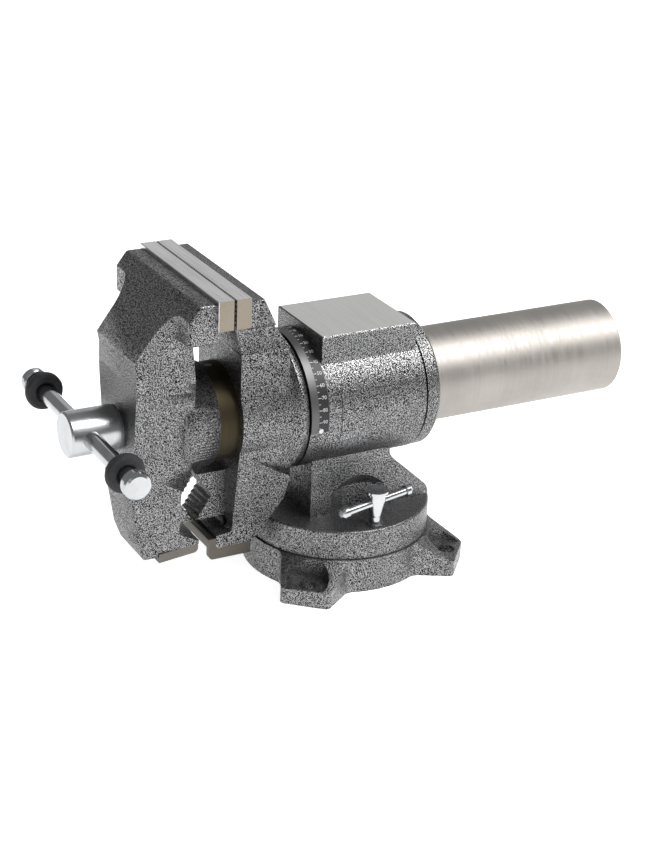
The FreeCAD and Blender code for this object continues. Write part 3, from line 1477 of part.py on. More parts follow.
def make_all():
    """Every node of the vise, in the order in which it would be put together."""
    nodes = make_base() + make_pivot() + make_swivel_body() + make_scale()
    nodes += make_base_locks() + make_head_lock()
    nodes += make_rear_jaw() + make_cap_ring() + make_nut() + make_rear_sole()
    nodes += make_jaw_plate("rear_jaw_plate", REAR_SEAT, REAR_FACE)
    nodes += make_plate_screws("rear_plate_screws", REAR_FACE, Y_AXIS)
    nodes += make_pipe_jaw("rear_pipe_jaw", -REAR_PIPE_FACE, -NECK_FRONT, 1)
    nodes += make_front_jaw() + make_slide_tube() + make_front_sole()
    nodes += make_jaw_plate("front_jaw_plate", FRONT_SEAT, FRONT_FACE)
    nodes += make_plate_screws("front_plate_screws", FRONT_FACE, -Y_AXIS)
    nodes += make_pipe_jaw("front_pipe_jaw", -FRONT_PIPE_FACE, -FRONT_PIPE_BACK, -1)
    nodes += make_spindle() + make_handle()
    return nodes


def broken_objects():
    """Labels of the objects that did not compute."""
    bad = []
    for item in doc.Objects:
        if "Invalid" in item.State or "Error" in item.State:
            bad.append("%s %s" % (item.Label, item.State))
    return bad


def main():
    """Builds, checks and writes every node."""
    os.makedirs("parts", exist_ok=True)
    nodes = make_all()
    doc.recompute()
    bad = broken_objects()
    if bad:
        raise RuntimeError("not computed: " + ", ".join(bad))
    for node in nodes:
        shape = node.Shape
        if shape.isNull() or not shape.isValid() or not shape.Solids:
            raise RuntimeError("no valid solid: " + node.Label)
    for node in nodes:
        node.Shape.exportStep("parts/%s.step" % node.Label)
        print("%-22s solids %d volume %.1f" % (
            node.Label, len(node.Shape.Solids), node.Shape.Volume))


main()
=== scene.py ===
"""Looks of the swivel bench vise: finishes, finished castings, degree marks, lights and camera.

Metres, but mm where castings and plates are cut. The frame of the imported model: +Z up, the
handle towards -Y, the jaws along X.
"""
import math

import bmesh
import bpy
from mathutils import Matrix, Vector


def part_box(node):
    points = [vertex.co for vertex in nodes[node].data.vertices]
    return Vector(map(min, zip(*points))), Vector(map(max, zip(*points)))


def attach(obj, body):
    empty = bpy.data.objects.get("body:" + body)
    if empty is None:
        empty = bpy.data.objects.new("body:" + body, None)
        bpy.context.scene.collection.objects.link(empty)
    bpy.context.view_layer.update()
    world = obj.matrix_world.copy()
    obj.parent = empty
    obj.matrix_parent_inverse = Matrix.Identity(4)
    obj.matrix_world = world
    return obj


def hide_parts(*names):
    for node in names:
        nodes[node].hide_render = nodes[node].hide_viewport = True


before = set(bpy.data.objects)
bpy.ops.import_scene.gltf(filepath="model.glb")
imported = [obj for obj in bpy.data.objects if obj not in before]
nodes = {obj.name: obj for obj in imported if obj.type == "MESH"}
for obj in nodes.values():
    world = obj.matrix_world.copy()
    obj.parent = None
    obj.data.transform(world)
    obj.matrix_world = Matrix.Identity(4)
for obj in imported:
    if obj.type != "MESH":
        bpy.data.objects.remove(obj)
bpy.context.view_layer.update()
scene = bpy.context.scene

MM = 0.001
FULL_TURN = 2 * math.pi
WAVE_STEP = 20.0
FAR = 1.0
MERGE = 0.001 * MM

# Places taken from the frame

barrel_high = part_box("swivel_body")[1]
strip_low, strip_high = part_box("degree_scale")
tube_low, tube_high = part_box("slide_tube")
rear_plate_low, rear_plate_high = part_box("rear_jaw_plate")
sole_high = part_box("rear_bottom_plate")[1]
front_plate_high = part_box("front_jaw_plate")[1]
AXIS_HEIGHT = (tube_low[2] + tube_high[2]) / 2
STRIP_RADIUS = (strip_high[0] - strip_low[0]) / 2


# Materials


class Finish:
    """A material whose nodes are added one by one, from texture to shader."""

    def __init__(self, name):
        self.material = bpy.data.materials.new(name)
        self.material.use_nodes = True
        self.tree = self.material.node_tree
        self.shader = self.tree.nodes["Principled BSDF"]

    def node(self, kind, **settings):
        """Adds a node and sets its properties."""
        made = self.tree.nodes.new("ShaderNode" + kind)
        for key, value in settings.items():
            setattr(made, key, value)
        return made

    def link(self, out, into):
        """Joins an output socket to an input socket."""
        self.tree.links.new(out, into)

    def place(self, scale=(1, 1, 1), turn=(0, 0, 0)):
        """Object coordinates, scaled and turned."""
        where = self.node("TexCoord")
        mapping = self.node("Mapping")
        mapping.inputs["Scale"].default_value = scale
        mapping.inputs["Rotation"].default_value = turn
        self.link(where.outputs["Object"], mapping.inputs["Vector"])
        return mapping.outputs["Vector"]

    def noise(self, vector, scale, detail=2.0, roughness=0.5, distortion=0.0):
        """A noise texture's value."""
        made = self.node("TexNoise")
        made.inputs["Scale"].default_value = scale
        made.inputs["Detail"].default_value = detail
        made.inputs["Roughness"].default_value = roughness
        made.inputs["Distortion"].default_value = distortion
        self.link(vector, made.inputs["Vector"])
        return made.outputs["Fac"]

    def within(self, axis, middle, half):
        """One where the Object coordinate lies near a place on an axis, else nought."""
        split = self.node("SeparateXYZ")
        self.link(self.place(), split.inputs[0])
        test = self.node("Math", operation="COMPARE")
        self.link(split.outputs["XYZ".index(axis)], test.inputs[0])
        test.inputs[1].default_value = middle
        test.inputs[2].default_value = half
        return test.outputs[0]

    def ridges(self, pitch, turn=0.0, direction="X"):
        """Even ridges across one axis, turned about Y."""
        made = self.node("TexWave", wave_type="BANDS", bands_direction=direction)
        made.inputs["Scale"].default_value = FULL_TURN / (WAVE_STEP * pitch)
        self.link(self.place(turn=(0, turn, 0)), made.inputs["Vector"])
        return made.outputs["Fac"]

    def reckon(self, operation, first, second):
        """One sum on two values; each may be a socket or a number."""
        made = self.node("Math", operation=operation)
        for socket, value in zip(made.inputs, (first, second)):
            if hasattr(value, "is_linked"):
                self.link(value, socket)
            else:
                socket.default_value = value
        return made.outputs[0]

    def times(self, first, second):
        """The product of two values."""
        return self.reckon("MULTIPLY", first, second)

    def ramp(self, value, stops):
        """Turns a value into a colour through (place, grey or colour) stops."""
        made = self.node("ValToRGB")
        band = made.color_ramp
        while len(band.elements) < len(stops):
            band.elements.new(1.0)
        for element, (place, colour) in zip(band.elements, stops):
            element.position = place
            element.color = rgba(colour)
        self.link(value, made.inputs["Fac"])
        return made.outputs["Color"]

    def mix(self, factor, first, second, kind="MIX"):
        """Mixes two colours; each may be a socket or a plain colour."""
        made = self.node("Mix", data_type="RGBA", blend_type=kind)
        for socket, value in ((made.inputs[0], factor), (made.inputs[6], first),
                              (made.inputs[7], second)):
            if hasattr(value, "is_linked"):
                self.link(value, socket)
            elif socket == made.inputs[0]:
                socket.default_value = value
            else:
                socket.default_value = rgba(value)
        return made.outputs[2]

    def bump(self, height, depth, strength=1.0, after=None):
        """Bump from a height, in metres."""
        made = self.node("Bump")
        made.inputs["Strength"].default_value = strength
        made.inputs["Distance"].default_value = depth
        self.link(height, made.inputs["Height"])
        if after is not None:
            self.link(after, made.inputs["Normal"])
        return made.outputs["Normal"]

    def set(self, **values):
        """Sets or links sockets of the shader by name, with _ for a space."""
        for key, value in values.items():
            socket = self.shader.inputs[key.replace("_", " ")]
            if hasattr(value, "is_linked"):
                self.link(value, socket)
            elif hasattr(socket.default_value, "__len__"):
                socket.default_value = rgba(value)
            else:
                socket.default_value = value


def rgba(colour):
    """A grey or a colour as red, green, blue and alpha."""
    if isinstance(colour, (int, float)):
        return (colour, colour, colour, 1.0)
    return (*colour, 1.0)


def hammered_paint(name, light, dark, bare_above=None, joints=()):
    """Silver and black hammer paint: fine light puddles between dark veins.

    Above bare_above the casting is ground bright, as the top of the anvil is.
    Each joint is a place on Y and a half width where the paint at the barrel's edge is painted
    near-black: painted shade for the shade inside the gap.
    """
    paint = Finish(name)
    where = paint.place()
    grain = paint.noise(where, PAINT_GRAIN, 1.0, 0.5, 0.4)
    middle = [(a + b) / 2 for a, b in zip(light, dark)]
    colour = paint.ramp(grain, [(VEIN, dark), (0.5, middle), (PUDDLE, light)])
    clouds = paint.noise(where, CLOUD_GRAIN, 2.0)
    shade = paint.ramp(clouds, [(0.3, 0.88), (0.7, 1.0)])
    colour = paint.mix(1.0, colour, shade, "MULTIPLY")
    rough = paint.ramp(grain, [(VEIN, 0.46), (PUDDLE, 0.27)])
    height = grain
    if bare_above is not None:
        bare = paint.within("Z", bare_above + FAR, FAR)
        lines = paint.noise(paint.place(scale=(0.03, 1.0, 1.0)), BRUSH_GRAIN, 3.0, 0.6)
        ground = paint.ramp(lines, [(0.3, (0.60, 0.60, 0.595)), (0.7, (0.70, 0.695, 0.68))])
        colour = paint.mix(bare, colour, ground)
        rough = paint.mix(bare, rough, 0.30)
        height = paint.mix(bare, grain, 0.5)
    # Painted shade: a thin near-black band at each joint stands in for the shade inside the gap.
    for place, half in joints:
        level = paint.within("Z", AXIS_HEIGHT, JOINT_REACH)
        colour = paint.mix(paint.times(level, paint.within("Y", place, half)), colour, JOINT_SHADE)
    paint.set(Base_Color=colour, Roughness=rough, Metallic=0.85, Specular_IOR_Level=0.4)
    paint.set(Normal=paint.bump(height, PAINT_DEPTH, 0.5))
    return paint.material


def ground_metal(name, colour, roughness, along, contrast=0.18, patches=(), knurl=False):
    """Ground or brushed steel, with fine lines that run along the named axes.

    Each patch is a mask's axis, middle and half width, and the colour inside or outside it.
    """
    metal = Finish(name)
    scale = [BRUSH_STRETCH if axis in along else 1.0 for axis in "XYZ"]
    where = metal.place(scale=scale)
    lines = metal.noise(where, BRUSH_GRAIN, 3.0, 0.6)
    dull = [part * (1.0 - contrast) for part in colour]
    bright = [min(1.0, part * (1.0 + contrast)) for part in colour]
    tone = metal.ramp(lines, [(0.3, dull), (0.7, bright)])
    blotches = metal.noise(metal.place(), 24.0, 3.0, 0.6)
    stain = metal.ramp(blotches, [(0.35, 0.88), (0.65, 1.0)])
    tone = metal.mix(1.0, tone, stain, "MULTIPLY")
    for axis, place, half, inside, outside in patches:
        mask = metal.within(axis, place, half)
        if outside is not None:
            tone = metal.mix(mask, metal.mix(1.0, stain, outside, "MULTIPLY"), tone)
        if inside is not None:
            tone = metal.mix(mask, tone, metal.mix(1.0, stain, inside, "MULTIPLY"))
    normal = metal.bump(lines, BRUSH_DEPTH, 0.6)
    if knurl:
        face = metal.within("Y", GRIP_PLACE, GRIP_HALF)
        diamonds = metal.times(metal.ridges(KNURL_PITCH, math.pi / 4),
                               metal.ridges(KNURL_PITCH, -math.pi / 4))
        normal = metal.bump(metal.times(face, diamonds), KNURL_DEPTH, 1.0, normal)
        # Painted shade: near-black notches along the gripping edge stand in for the shaded gaps
        # between the teeth.
        notch_shade = metal.ramp(metal.ridges(KNURL_PITCH), [(0.45, 0.0), (0.55, 1.0)])
        edge = metal.within("Y", GRIP_PLACE, GRIP_NOTCH)
        tone = metal.mix(metal.times(edge, notch_shade), tone, 0.02)
        tone = metal.mix(face, tone, metal.ramp(diamonds, [(0.0, 0.03), (0.5, 0.34)]))
    metal.set(Base_Color=tone)
    metal.set(Roughness=metal.ramp(lines, [(0.3, roughness * 0.85), (0.7, roughness * 1.2)]))
    metal.set(Metallic=1.0, Normal=normal)
    return metal.material


def polished_chrome(name):
    """Bright chrome with faint wipe marks."""
    chrome = Finish(name)
    smear = chrome.noise(chrome.place(), 90.0, 3.0)
    chrome.set(Base_Color=chrome.ramp(smear, CHROME_TONES))
    chrome.set(Metallic=1.0, Roughness=chrome.ramp(smear, [(0.3, 0.12), (0.75, 0.20)]))
    return chrome.material


def threaded_chrome(name, thread_from, pitch):
    """A chromed head with the darker, threaded part of the spindle behind it."""
    chrome = Finish(name)
    smear = chrome.noise(chrome.place(), 90.0, 3.0)
    bright = chrome.ramp(smear, CHROME_TONES)
    thread = chrome.within("Y", thread_from + FAR, FAR)
    ridges = chrome.ridges(pitch, direction="Y")
    dull = chrome.ramp(ridges, [(0.2, 0.06), (0.7, 0.36)])
    chrome.set(Base_Color=chrome.mix(thread, bright, dull), Metallic=1.0)
    chrome.set(Roughness=chrome.mix(thread, 0.26, 0.36))
    chrome.set(Normal=chrome.bump(chrome.times(thread, ridges), THREAD_DEPTH, 1.0))
    return chrome.material


def scale_strip(name, margin, rim):
    """The degree strip: a black band between a steel margin and a thin steel rim."""
    strip = Finish(name)
    bright = strip.within("Y", *margin)
    edge = strip.within("Y", *rim)
    tint = strip.mix(bright, STRIP_BLACK, STRIP_STEEL)
    strip.set(Base_Color=strip.mix(edge, tint, STRIP_STEEL))
    strip.set(Metallic=strip.mix(edge, strip.mix(bright, 0.0, 1.0), 1.0), Roughness=0.45)
    return strip.material


def satin_steel(name, colour, roughness):
    """Plain machined metal for screws, nut, washers and the brake pad."""
    steel = Finish(name)
    speck = steel.noise(steel.place(), 400.0, 2.0)
    dull = [part * 0.8 for part in colour]
    steel.set(Base_Color=steel.ramp(speck, [(0.3, dull), (0.7, colour)]))
    steel.set(Metallic=1.0, Roughness=roughness)
    return steel.material


def dark_rubber(name):
    """Matte rubber with a slightly dusty surface."""
    rubber = Finish(name)
    dust = rubber.noise(rubber.place(), 300.0, 4.0, 0.7)
    tones = [(0.3, (0.012, 0.012, 0.014)), (0.8, (0.04, 0.04, 0.045))]
    rubber.set(Base_Color=rubber.ramp(dust, tones))
    rubber.set(Roughness=0.62, Normal=rubber.bump(dust, 0.0001, 0.5))
    return rubber.material


def flat_ink(name, colour, roughness):
    """Printed marks, slightly uneven."""
    ink = Finish(name)
    uneven = ink.noise(ink.place(), 900.0, 2.0)
    worn = [part * 0.85 for part in colour]
    ink.set(Base_Color=ink.ramp(uneven, [(0.3, worn), (0.6, colour)]), Roughness=roughness)
    return ink.material


PAINT_GRAIN = 1480.0
PAINT_DEPTH = 0.6 * MM
CLOUD_GRAIN = 38.0
VEIN = 0.46
PUDDLE = 0.54
LIGHT_PAINT = (0.35, 0.35, 0.352)
DARK_PAINT = (0.003, 0.003, 0.003)
TAN = (0.25, 0.22, 0.18)
SOLE_TAN = (0.115, 0.105, 0.09)
# Painted shade: the dark brownish tone of the tube where it shows between the jaws.
GAP_PAINTED_SHADE = (0.055, 0.045, 0.028)
STRIP_BLACK = (0.012, 0.012, 0.014)
STRIP_STEEL = (0.13, 0.13, 0.13)
CHROME_TONES = [(0.3, (0.45, 0.46, 0.47)), (0.7, (0.54, 0.55, 0.56))]
BRUSH_GRAIN = 900.0
BRUSH_STRETCH = 0.02
BRUSH_DEPTH = 0.02 * MM
GRIP_PLACE = (rear_plate_low[1] + front_plate_high[1]) / 2
GRIP_HALF = 0.3 * MM
GRIP_NOTCH = 1.0 * MM
KNURL_PITCH = 2.2 * MM
KNURL_DEPTH = 0.5 * MM
SCREW_PITCH = 5.0 * MM
THREAD_DEPTH = 1.2 * MM
THREAD_FRONT = -168.0 * MM
GAP_REAR = -94.5 * MM
STRIP_MARGIN = (-46.0 * MM, 3.0 * MM)
STRIP_RIM = (-35.2 * MM, 0.4 * MM)
PLATE_INNER = rear_plate_high[0] - 0.1 * MM
SOLE_INNER = sole_high[0] - 0.1 * MM

# Painted shade at the barrel's joints: thin near-black bands in the paint, at these places on Y.
FRONT_JOINT = -49.5 * MM
REAR_JOINT = 41.7 * MM
JOINT_HALF = 0.85 * MM
JOINT_REACH = 49.0 * MM
JOINT_SHADE = 0.002
JOINTS = ((FRONT_JOINT, JOINT_HALF), (REAR_JOINT, JOINT_HALF))

HAMMERED = hammered_paint("hammered_paint", LIGHT_PAINT, DARK_PAINT)
HEAD_PAINT = hammered_paint("head_paint", LIGHT_PAINT, DARK_PAINT, joints=JOINTS)
ANVIL_PAINT = hammered_paint("swivel_paint", LIGHT_PAINT, DARK_PAINT,
                             barrel_high[2] - 0.05 * MM, JOINTS)
PLATE_STEEL = ground_metal("plate_steel", (0.78, 0.78, 0.78), 0.30, "X", knurl=True,
                           patches=[("X", 0.0, PLATE_INNER, None, TAN)])
SOLE_STEEL = ground_metal("sole_steel", (0.15, 0.14, 0.125), 0.42, "X",
                          patches=[("X", 0.0, SOLE_INNER, None, SOLE_TAN)])
# The tube in front of the rear jaw carries a patch of painted shade.
TUBE_STEEL = ground_metal("tube_steel", (0.40, 0.375, 0.35), 0.50, "XZ", contrast=0.10,
                          patches=[("Y", GAP_REAR - FAR, FAR, GAP_PAINTED_SHADE, None)])
CHROME = polished_chrome("polished_chrome")
SPINDLE_CHROME = threaded_chrome("spindle_chrome", THREAD_FRONT, SCREW_PITCH)
STEEL = satin_steel("screw_steel", (0.30, 0.30, 0.31), 0.38)
BRASS = satin_steel("pad_brass", (0.72, 0.52, 0.24), 0.35)
RUBBER = dark_rubber("dark_rubber")
STRIP = scale_strip("scale_strip", STRIP_MARGIN, STRIP_RIM)
WHITE = flat_ink("mark_white", (0.80, 0.80, 0.78), 0.6)

FINISHES = {
    "rear_jaw_plate": PLATE_STEEL, "front_jaw_plate": PLATE_STEEL,
    "rear_bottom_plate": SOLE_STEEL, "front_bottom_plate": SOLE_STEEL,
    "slide_tube": TUBE_STEEL, "degree_scale": STRIP, "spindle": SPINDLE_CHROME,
    "swivel_body": ANVIL_PAINT, "rear_cap_ring": HEAD_PAINT, "handle_rings": RUBBER,
    "head_lock_pad": BRASS,
}
PAINTED = ("base_casting", "rear_jaw", "front_jaw", "rear_pipe_jaw", "front_pipe_jaw")
BRIGHT = ("spindle", "handle_bar", "handle_knobs", "scale_rivets",
          "base_lock_screw", "base_lock_bar", "head_lock_screw", "head_lock_bar")


def finish_of(name):
    """The material of one CAD node."""
    if name in FINISHES:
        return FINISHES[name]
    if name in PAINTED:
        return HAMMERED
    if name.startswith(BRIGHT):
        return CHROME
    return STEEL


for name, node in nodes.items():
    node.data.materials.clear()
    node.data.materials.append(finish_of(name))


# Castings and plates cut to their finished shape, with places and lengths in mm

SMOOTH_ANGLE = math.radians(28)
UP = (0, 0, 1)
DOWN = (0, 0, -1)
TO_REAR = (0, 1, 0)
TO_FRONT = (0, -1, 0)
RIGHT = (1, 0, 0)
LEFT = (-1, 0, 0)
SEAM = 0.002
NEAR = 0.1
APART = 1


def show(name, shape, finish, body, *replaced):
    """Makes an object of a shape, rides it on a body and lets it stand for CAD nodes."""
    mesh = bpy.data.meshes.new(name)
    shape.to_mesh(mesh)
    shape.free()
    mesh.shade_smooth()
    mesh.set_sharp_from_angle(angle=SMOOTH_ANGLE)
    mesh.materials.append(finish)
    made = bpy.data.objects.new(name, mesh)
    scene.collection.objects.link(made)
    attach(made, body)
    if replaced:
        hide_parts(*replaced)
    return made


def cut_away(shape, place, outwards):
    """Takes off all that lies beyond a plane, and closes the cut. The place is in mm."""
    parts = shape.verts[:] + shape.edges[:] + shape.faces[:]
    cut = bmesh.ops.bisect_plane(shape, geom=parts, plane_co=Vector(place) * MM,
                                 plane_no=Vector(outwards).normalized(), clear_outer=True)
    rim = [part for part in cut["geom_cut"] if isinstance(part, bmesh.types.BMEdge)]
    if rim:
        bmesh.ops.holes_fill(shape, edges=rim)


def join_into(whole, shape):
    """Adds one shape to another."""
    carrier = bpy.data.meshes.new("carrier")
    shape.to_mesh(carrier)
    shape.free()
    whole.from_mesh(carrier)
    bpy.data.meshes.remove(carrier)


def carved(name, pieces):
    """A merged copy of a CAD piece, taken apart by planes; each piece is a list of cuts."""
    whole = bmesh.new()
    for cuts in pieces:
        shape = bmesh.new()
        shape.from_mesh(nodes[name].data)
        bmesh.ops.remove_doubles(shape, verts=shape.verts, dist=SEAM * MM)
        for place, outwards in cuts:
            cut_away(shape, place, outwards)
        bmesh.ops.recalc_face_normals(shape, faces=shape.faces)
        join_into(whole, shape)
    return whole


def extruded(outline, start, way):
    """A prism from an outline of corners in mm."""
    shape = bmesh.new()
    corners = [shape.verts.new(Vector(corner) * MM) for corner in outline]
    face = [shape.faces.new(corners)]
    raised = bmesh.ops.extrude_face_region(shape, geom=face)["geom"]
    moved = [part for part in raised if isinstance(part, bmesh.types.BMVert)]
    bmesh.ops.translate(shape, verts=moved, vec=Vector(way) * MM)
    bmesh.ops.translate(shape, verts=shape.verts, vec=Vector(start) * MM)
    bmesh.ops.recalc_face_normals(shape, faces=shape.faces)
    return shape


def rounded(shape, size, segments, chosen):
    """Rounds the edges that a test on their two ends, in mm, picks."""
    edges = [edge for edge in shape.edges
             if chosen(edge.verts[0].co / MM, edge.verts[1].co / MM)]
    bmesh.ops.bevel(shape, geom=edges, offset=size * MM, segments=segments, profile=0.5,
                    affect="EDGES", material=-1)


# Front jaw: the wings meet the nose in large hollows under one slope

HEAD_UNDER = 199.3
HEAD_TOP = 226.0
HEAD_HALF = 60.0
HEAD_SEAT = -125.25
WING_FRONT = -144.3
NOSE_TIP = -169.5
NOSE_HALF = 32.0
NOSE_ROOT = 32.75
BROW = -137.0
BROW_SLOPE = (0, -43.2, 32.5)
HOLLOW = 14.0
HOLLOW_STEPS = 10
HEAD_EDGE = 1.8
EDGE_STEPS = 3
NECK_SPLIT = 162.8
NECK_BACK = -127.0
NECK_SLOPE = (0, 36.5, 3.3)
SIDE_PLACE = (32.02, NOSE_TIP, 0)
SIDE_SLOPE = 0.0298


def make_front_jaw():
    """The moving jaw with the head that the photograph shows."""
    back = ((0, NECK_BACK, NECK_SPLIT), NECK_SLOPE)
    neck = [((0, 0, NECK_SPLIT), DOWN), ((0, 0, HEAD_UNDER), UP), back,
            (SIDE_PLACE, (1, -SIDE_SLOPE, 0)),
            ((-SIDE_PLACE[0], NOSE_TIP, 0), (-1, -SIDE_SLOPE, 0))]
    whole = carved("front_jaw", [[((0, 0, NECK_SPLIT), UP)], neck])
    half = [(HEAD_HALF, HEAD_SEAT), (HEAD_HALF, WING_FRONT), (NOSE_ROOT, WING_FRONT),
            (NOSE_HALF, NOSE_TIP)]
    outline = [(x, y, 0) for x, y in half] + [(-x, y, 0) for x, y in reversed(half)]
    head = extruded(outline, (0, 0, HEAD_UNDER), (0, 0, HEAD_TOP - HEAD_UNDER))
    rounded(head, HOLLOW, HOLLOW_STEPS, lambda a, b: abs(a.z - b.z) > APART
            and abs(a.y - WING_FRONT) < NEAR and abs(abs(a.x) - NOSE_ROOT) < NEAR)
    cut_away(head, (0, BROW, HEAD_TOP), BROW_SLOPE)
    rounded(head, HEAD_EDGE, EDGE_STEPS, lambda a, b: abs(abs(a.x) - HEAD_HALF) < NEAR
            and abs(abs(b.x) - HEAD_HALF) < NEAR and min(a.y, b.y) < HEAD_SEAT - APART)
    bmesh.ops.recalc_face_normals(head, faces=head.faces)
    join_into(whole, head)
    show("front_jaw_casting", whole, HAMMERED, "slide", "front_jaw")


# Rear jaw: the wings rise from the neck to shallow ends

REAR_SPLIT = 176.0
REAR_NECK = 33.6
WING_FOOT = 195.0
WING_OUT = 12.3
WING_DOWN = -27.0


def make_rear_jaw():
    """The rear jaw with its wings drawn in from below."""
    above = ((0, 0, REAR_SPLIT), DOWN)
    wings = [[above, ((REAR_NECK * side, 0, 0), (-side, 0, 0)),
              ((REAR_NECK * side, 0, WING_FOOT), (WING_OUT * side, 0, WING_DOWN))] for side in (1, -1)]
    middle = [above, ((REAR_NECK, 0, 0), RIGHT), ((-REAR_NECK, 0, 0), LEFT)]
    whole = carved("rear_jaw", [[((0, 0, REAR_SPLIT), UP)], middle] + wings)
    show("rear_jaw_casting", whole, HEAD_PAINT, "head", "rear_jaw")


# Rear bottom plate: the lip bridges two ears over a recess

RECESS_BACK = -101.5
EAR_INNER = 20.0
LIP_UNDER = 34.0


def make_rear_bottom_plate():
    """The lower rear plate with the opening under its lip."""
    front = ((0, RECESS_BACK, 0), TO_REAR)
    whole = carved("rear_bottom_plate", [
        [((0, RECESS_BACK, 0), TO_FRONT)],
        [front, ((EAR_INNER, 0, 0), LEFT)],
        [front, ((-EAR_INNER, 0, 0), RIGHT)],
        [front, ((EAR_INNER, 0, 0), RIGHT), ((-EAR_INNER, 0, 0), LEFT),
         ((0, 0, LIP_UNDER), DOWN)],
    ])
    show("rear_bottom_plate_open", whole, SOLE_STEEL, "head", "rear_bottom_plate")


# Pipe jaws: toothed notches that face each other

PIPE_TOP = 86.0
PIPE_LOW = 51.7
PIPE_HALF = 12.0
PIPE_LAND = 0.8
PIPE_TEETH = 5
TOOTH_BITE = 0.35
REAR_NOTCH = (-94.5, -116.0, -105.2)
FRONT_NOTCH = (-133.2, -118.6, -129.4)


def make_pipe_jaw(name, body, replaced, back, face, apex):
    """A block with a toothed V notch; its back, face and the notch's apex are places on Y."""
    middle = (PIPE_TOP + PIPE_LOW) / 2
    step_on = (PIPE_TOP - PIPE_LAND - middle) / PIPE_TEETH
    step_in = (apex - face) / PIPE_TEETH
    upper = []
    for tooth in range(PIPE_TEETH):
        level = PIPE_TOP - PIPE_LAND - step_on * tooth
        upper.append((face + step_in * tooth, level))
        upper.append((face + step_in * (tooth + 1), level - step_on * TOOTH_BITE))
    lower = [(deep, middle * 2 - level) for deep, level in reversed(upper)]
    notch = [(back, PIPE_TOP), (face, PIPE_TOP)] + upper + [(apex, middle)] + lower
    notch += [(face, PIPE_LOW), (back, PIPE_LOW)]
    outline = [(0, deep, level) for deep, level in notch]
    block = extruded(outline, (-PIPE_HALF, 0, 0), (PIPE_HALF * 2, 0, 0))
    show(name, block, HAMMERED, body, replaced)


make_front_jaw()
make_rear_jaw()
make_rear_bottom_plate()
make_pipe_jaw("rear_pipe_block", "head", "rear_pipe_jaw", *REAR_NOTCH)
make_pipe_jaw("front_pipe_block", "slide", "front_pipe_jaw", *FRONT_NOTCH)


# Degree marks

MARK_PROUD = 0.04 * MM
MARK_HALF = 0.20 * MM
TICK_FRONT = -0.0428
TICK_SHORT = 1.2 * MM
TICK_LONG = 2.2 * MM
NUMBER_PLACE = -0.0384
NUMBER_SIZE = 3.6 * MM
NUMBER_STEP = 10
TICK_STEP = 5
STRIP_REACH = 95
LAST_NUMBER = 90
TEXT_STEPS = 3


def around(angle):
    """The place on the strip at an angle, with X outwards and Z along the turn."""
    centre = Matrix.Translation((0, 0, AXIS_HEIGHT))
    turn = Matrix.Rotation(-math.radians(angle), 4, "Y")
    return centre @ turn @ Matrix.Translation((STRIP_RADIUS, 0, 0))


def add_tick(marks, angle, length):
    """One white line that starts at the front edge of the black band."""
    place = Matrix.Translation((0, TICK_FRONT + length / 2, 0))
    size = Matrix.Diagonal((MARK_PROUD * 2, length, MARK_HALF * 2, 1.0))
    bmesh.ops.create_cube(marks, size=1.0, matrix=around(angle) @ place @ size)


def add_number(marks, angle, words):
    """A number that lies on the strip, read from the front of the vise."""
    text = bpy.data.curves.new("number", "FONT")
    text.body = words
    text.size = NUMBER_SIZE
    text.align_x = "CENTER"
    text.align_y = "CENTER"
    text.extrude = MARK_PROUD
    text.resolution_u = TEXT_STEPS
    holder = bpy.data.objects.new("number", text)
    scene.collection.objects.link(holder)
    bpy.context.view_layer.update()
    flat = bpy.data.meshes.new_from_object(holder.evaluated_get(
        bpy.context.evaluated_depsgraph_get()))
    # The text runs to the rear, its top lies along the turn and its face outwards.
    stand = Matrix(((0, 0, 1, 0), (1, 0, 0, 0), (0, 1, 0, 0), (0, 0, 0, 1)))
    flat.transform(around(angle) @ Matrix.Translation((0, NUMBER_PLACE, 0)) @ stand)
    marks.from_mesh(flat)
    bpy.data.objects.remove(holder)
    bpy.data.meshes.remove(flat)


def make_degree_marks():
    """White degree lines and numbers, nought at the top and ninety at both sides."""
    marks = bmesh.new()
    for turn in range(-STRIP_REACH, STRIP_REACH + 1, TICK_STEP):
        whole = turn % NUMBER_STEP == 0
        add_tick(marks, LAST_NUMBER - turn, TICK_LONG if whole else TICK_SHORT)
        if whole and abs(turn) <= LAST_NUMBER:
            add_number(marks, LAST_NUMBER - turn, str(abs(turn)))
    bmesh.ops.remove_doubles(marks, verts=marks.verts, dist=MERGE)
    bmesh.ops.recalc_face_normals(marks, faces=marks.faces)
    mesh = bpy.data.meshes.new("degree_marks")
    marks.to_mesh(mesh)
    marks.free()
    mesh.materials.append(WHITE)
    made = bpy.data.objects.new("degree_marks", mesh)
    scene.collection.objects.link(made)
    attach(made, "swivel")


make_degree_marks()


# Stage

FLOOR_SIZE = 30.0
FLOOR_GLOW = 0.86
WORLD_LIGHT = 0.26
LAMP_AIM = Vector((0, -0.02, 0.12))
LAMPS = (
    ("high_right", (0.39, 0.44, 0.78), 1.7, (1.1, 1.1), 31.0),
    ("front_fill", (0.8, -0.5, 0.35), 2.2, (1.6, 1.2), 3.0),
    ("back_panel", (-0.80, 0.44, 0.40), 2.2, (1.7, 1.2), 2.4),
)


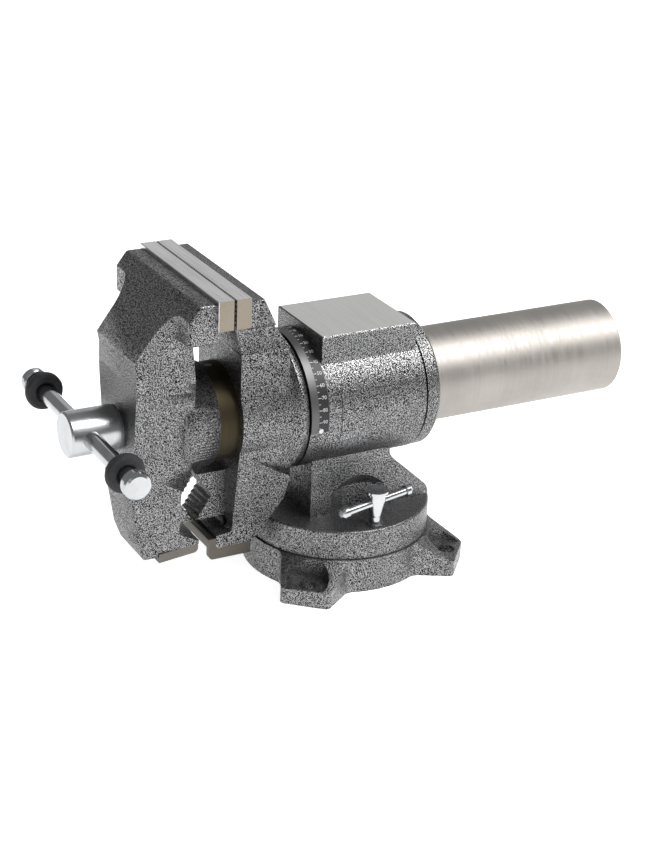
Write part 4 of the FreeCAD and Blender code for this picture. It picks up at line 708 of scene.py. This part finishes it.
def make_floor():
    """A large pale floor that shows white and takes the shadow."""
    bpy.ops.mesh.primitive_plane_add(size=FLOOR_SIZE, location=(0, 0, 0))
    floor = bpy.context.object
    floor.name = "floor"
    finish = Finish("floor_white")
    rays = finish.node("LightPath").outputs
    seen = finish.reckon("ADD", rays["Is Camera Ray"], rays["Is Glossy Ray"])
    shown = finish.reckon("ADD", seen, rays["Is Transmission Ray"])
    finish.set(Emission_Strength=finish.times(shown, FLOOR_GLOW), Emission_Color=1.0)
    finish.set(Base_Color=0.8, Roughness=1.0, Specular_IOR_Level=0.0)
    floor.data.materials.append(finish.material)


def make_world():
    """A dim even studio."""
    world = bpy.data.worlds.new("studio")
    scene.world = world
    world.use_nodes = True
    light = world.node_tree.nodes["Background"].inputs
    light["Color"].default_value = (1, 1, 1, 1)
    light["Strength"].default_value = WORLD_LIGHT


def softbox(name, toward, distance, size, power):
    """An area lamp in one direction from the object."""
    lamp = bpy.data.lights.new(name, "AREA")
    lamp.shape = "RECTANGLE"
    lamp.size, lamp.size_y = size
    lamp.energy = power
    box = bpy.data.objects.new(name, lamp)
    scene.collection.objects.link(box)
    box.location = LAMP_AIM + Vector(toward).normalized() * distance
    box.rotation_euler = (LAMP_AIM - box.location).to_track_quat("-Z", "Y").to_euler()


CAMERA_AT = Vector((1.07251, -0.60655, 0.64206))
CAMERA_RIGHT = Vector((0.469418, 0.882166, 0.037817))
CAMERA_UP = Vector((-0.376486, 0.161227, 0.912285))
SENSOR = 36.0
FOCAL_PIXELS = 1909.378
PHOTO_HEIGHT = 864.0


def make_camera():
    """The photograph's viewpoint and focal length."""
    lens = bpy.data.cameras.new("camera")
    lens.sensor_fit = "AUTO"
    lens.sensor_width = SENSOR
    lens.lens = FOCAL_PIXELS / PHOTO_HEIGHT * SENSOR
    camera = bpy.data.objects.new("camera", lens)
    back = CAMERA_RIGHT.cross(CAMERA_UP)
    turn = Matrix((CAMERA_RIGHT, CAMERA_UP, back)).transposed().to_4x4()
    camera.matrix_world = Matrix.Translation(CAMERA_AT) @ turn
    scene.collection.objects.link(camera)
    scene.camera = camera


make_floor()
make_world()
for lamp in LAMPS:
    softbox(*lamp)
make_camera()
scene.view_settings.view_transform = "Standard"
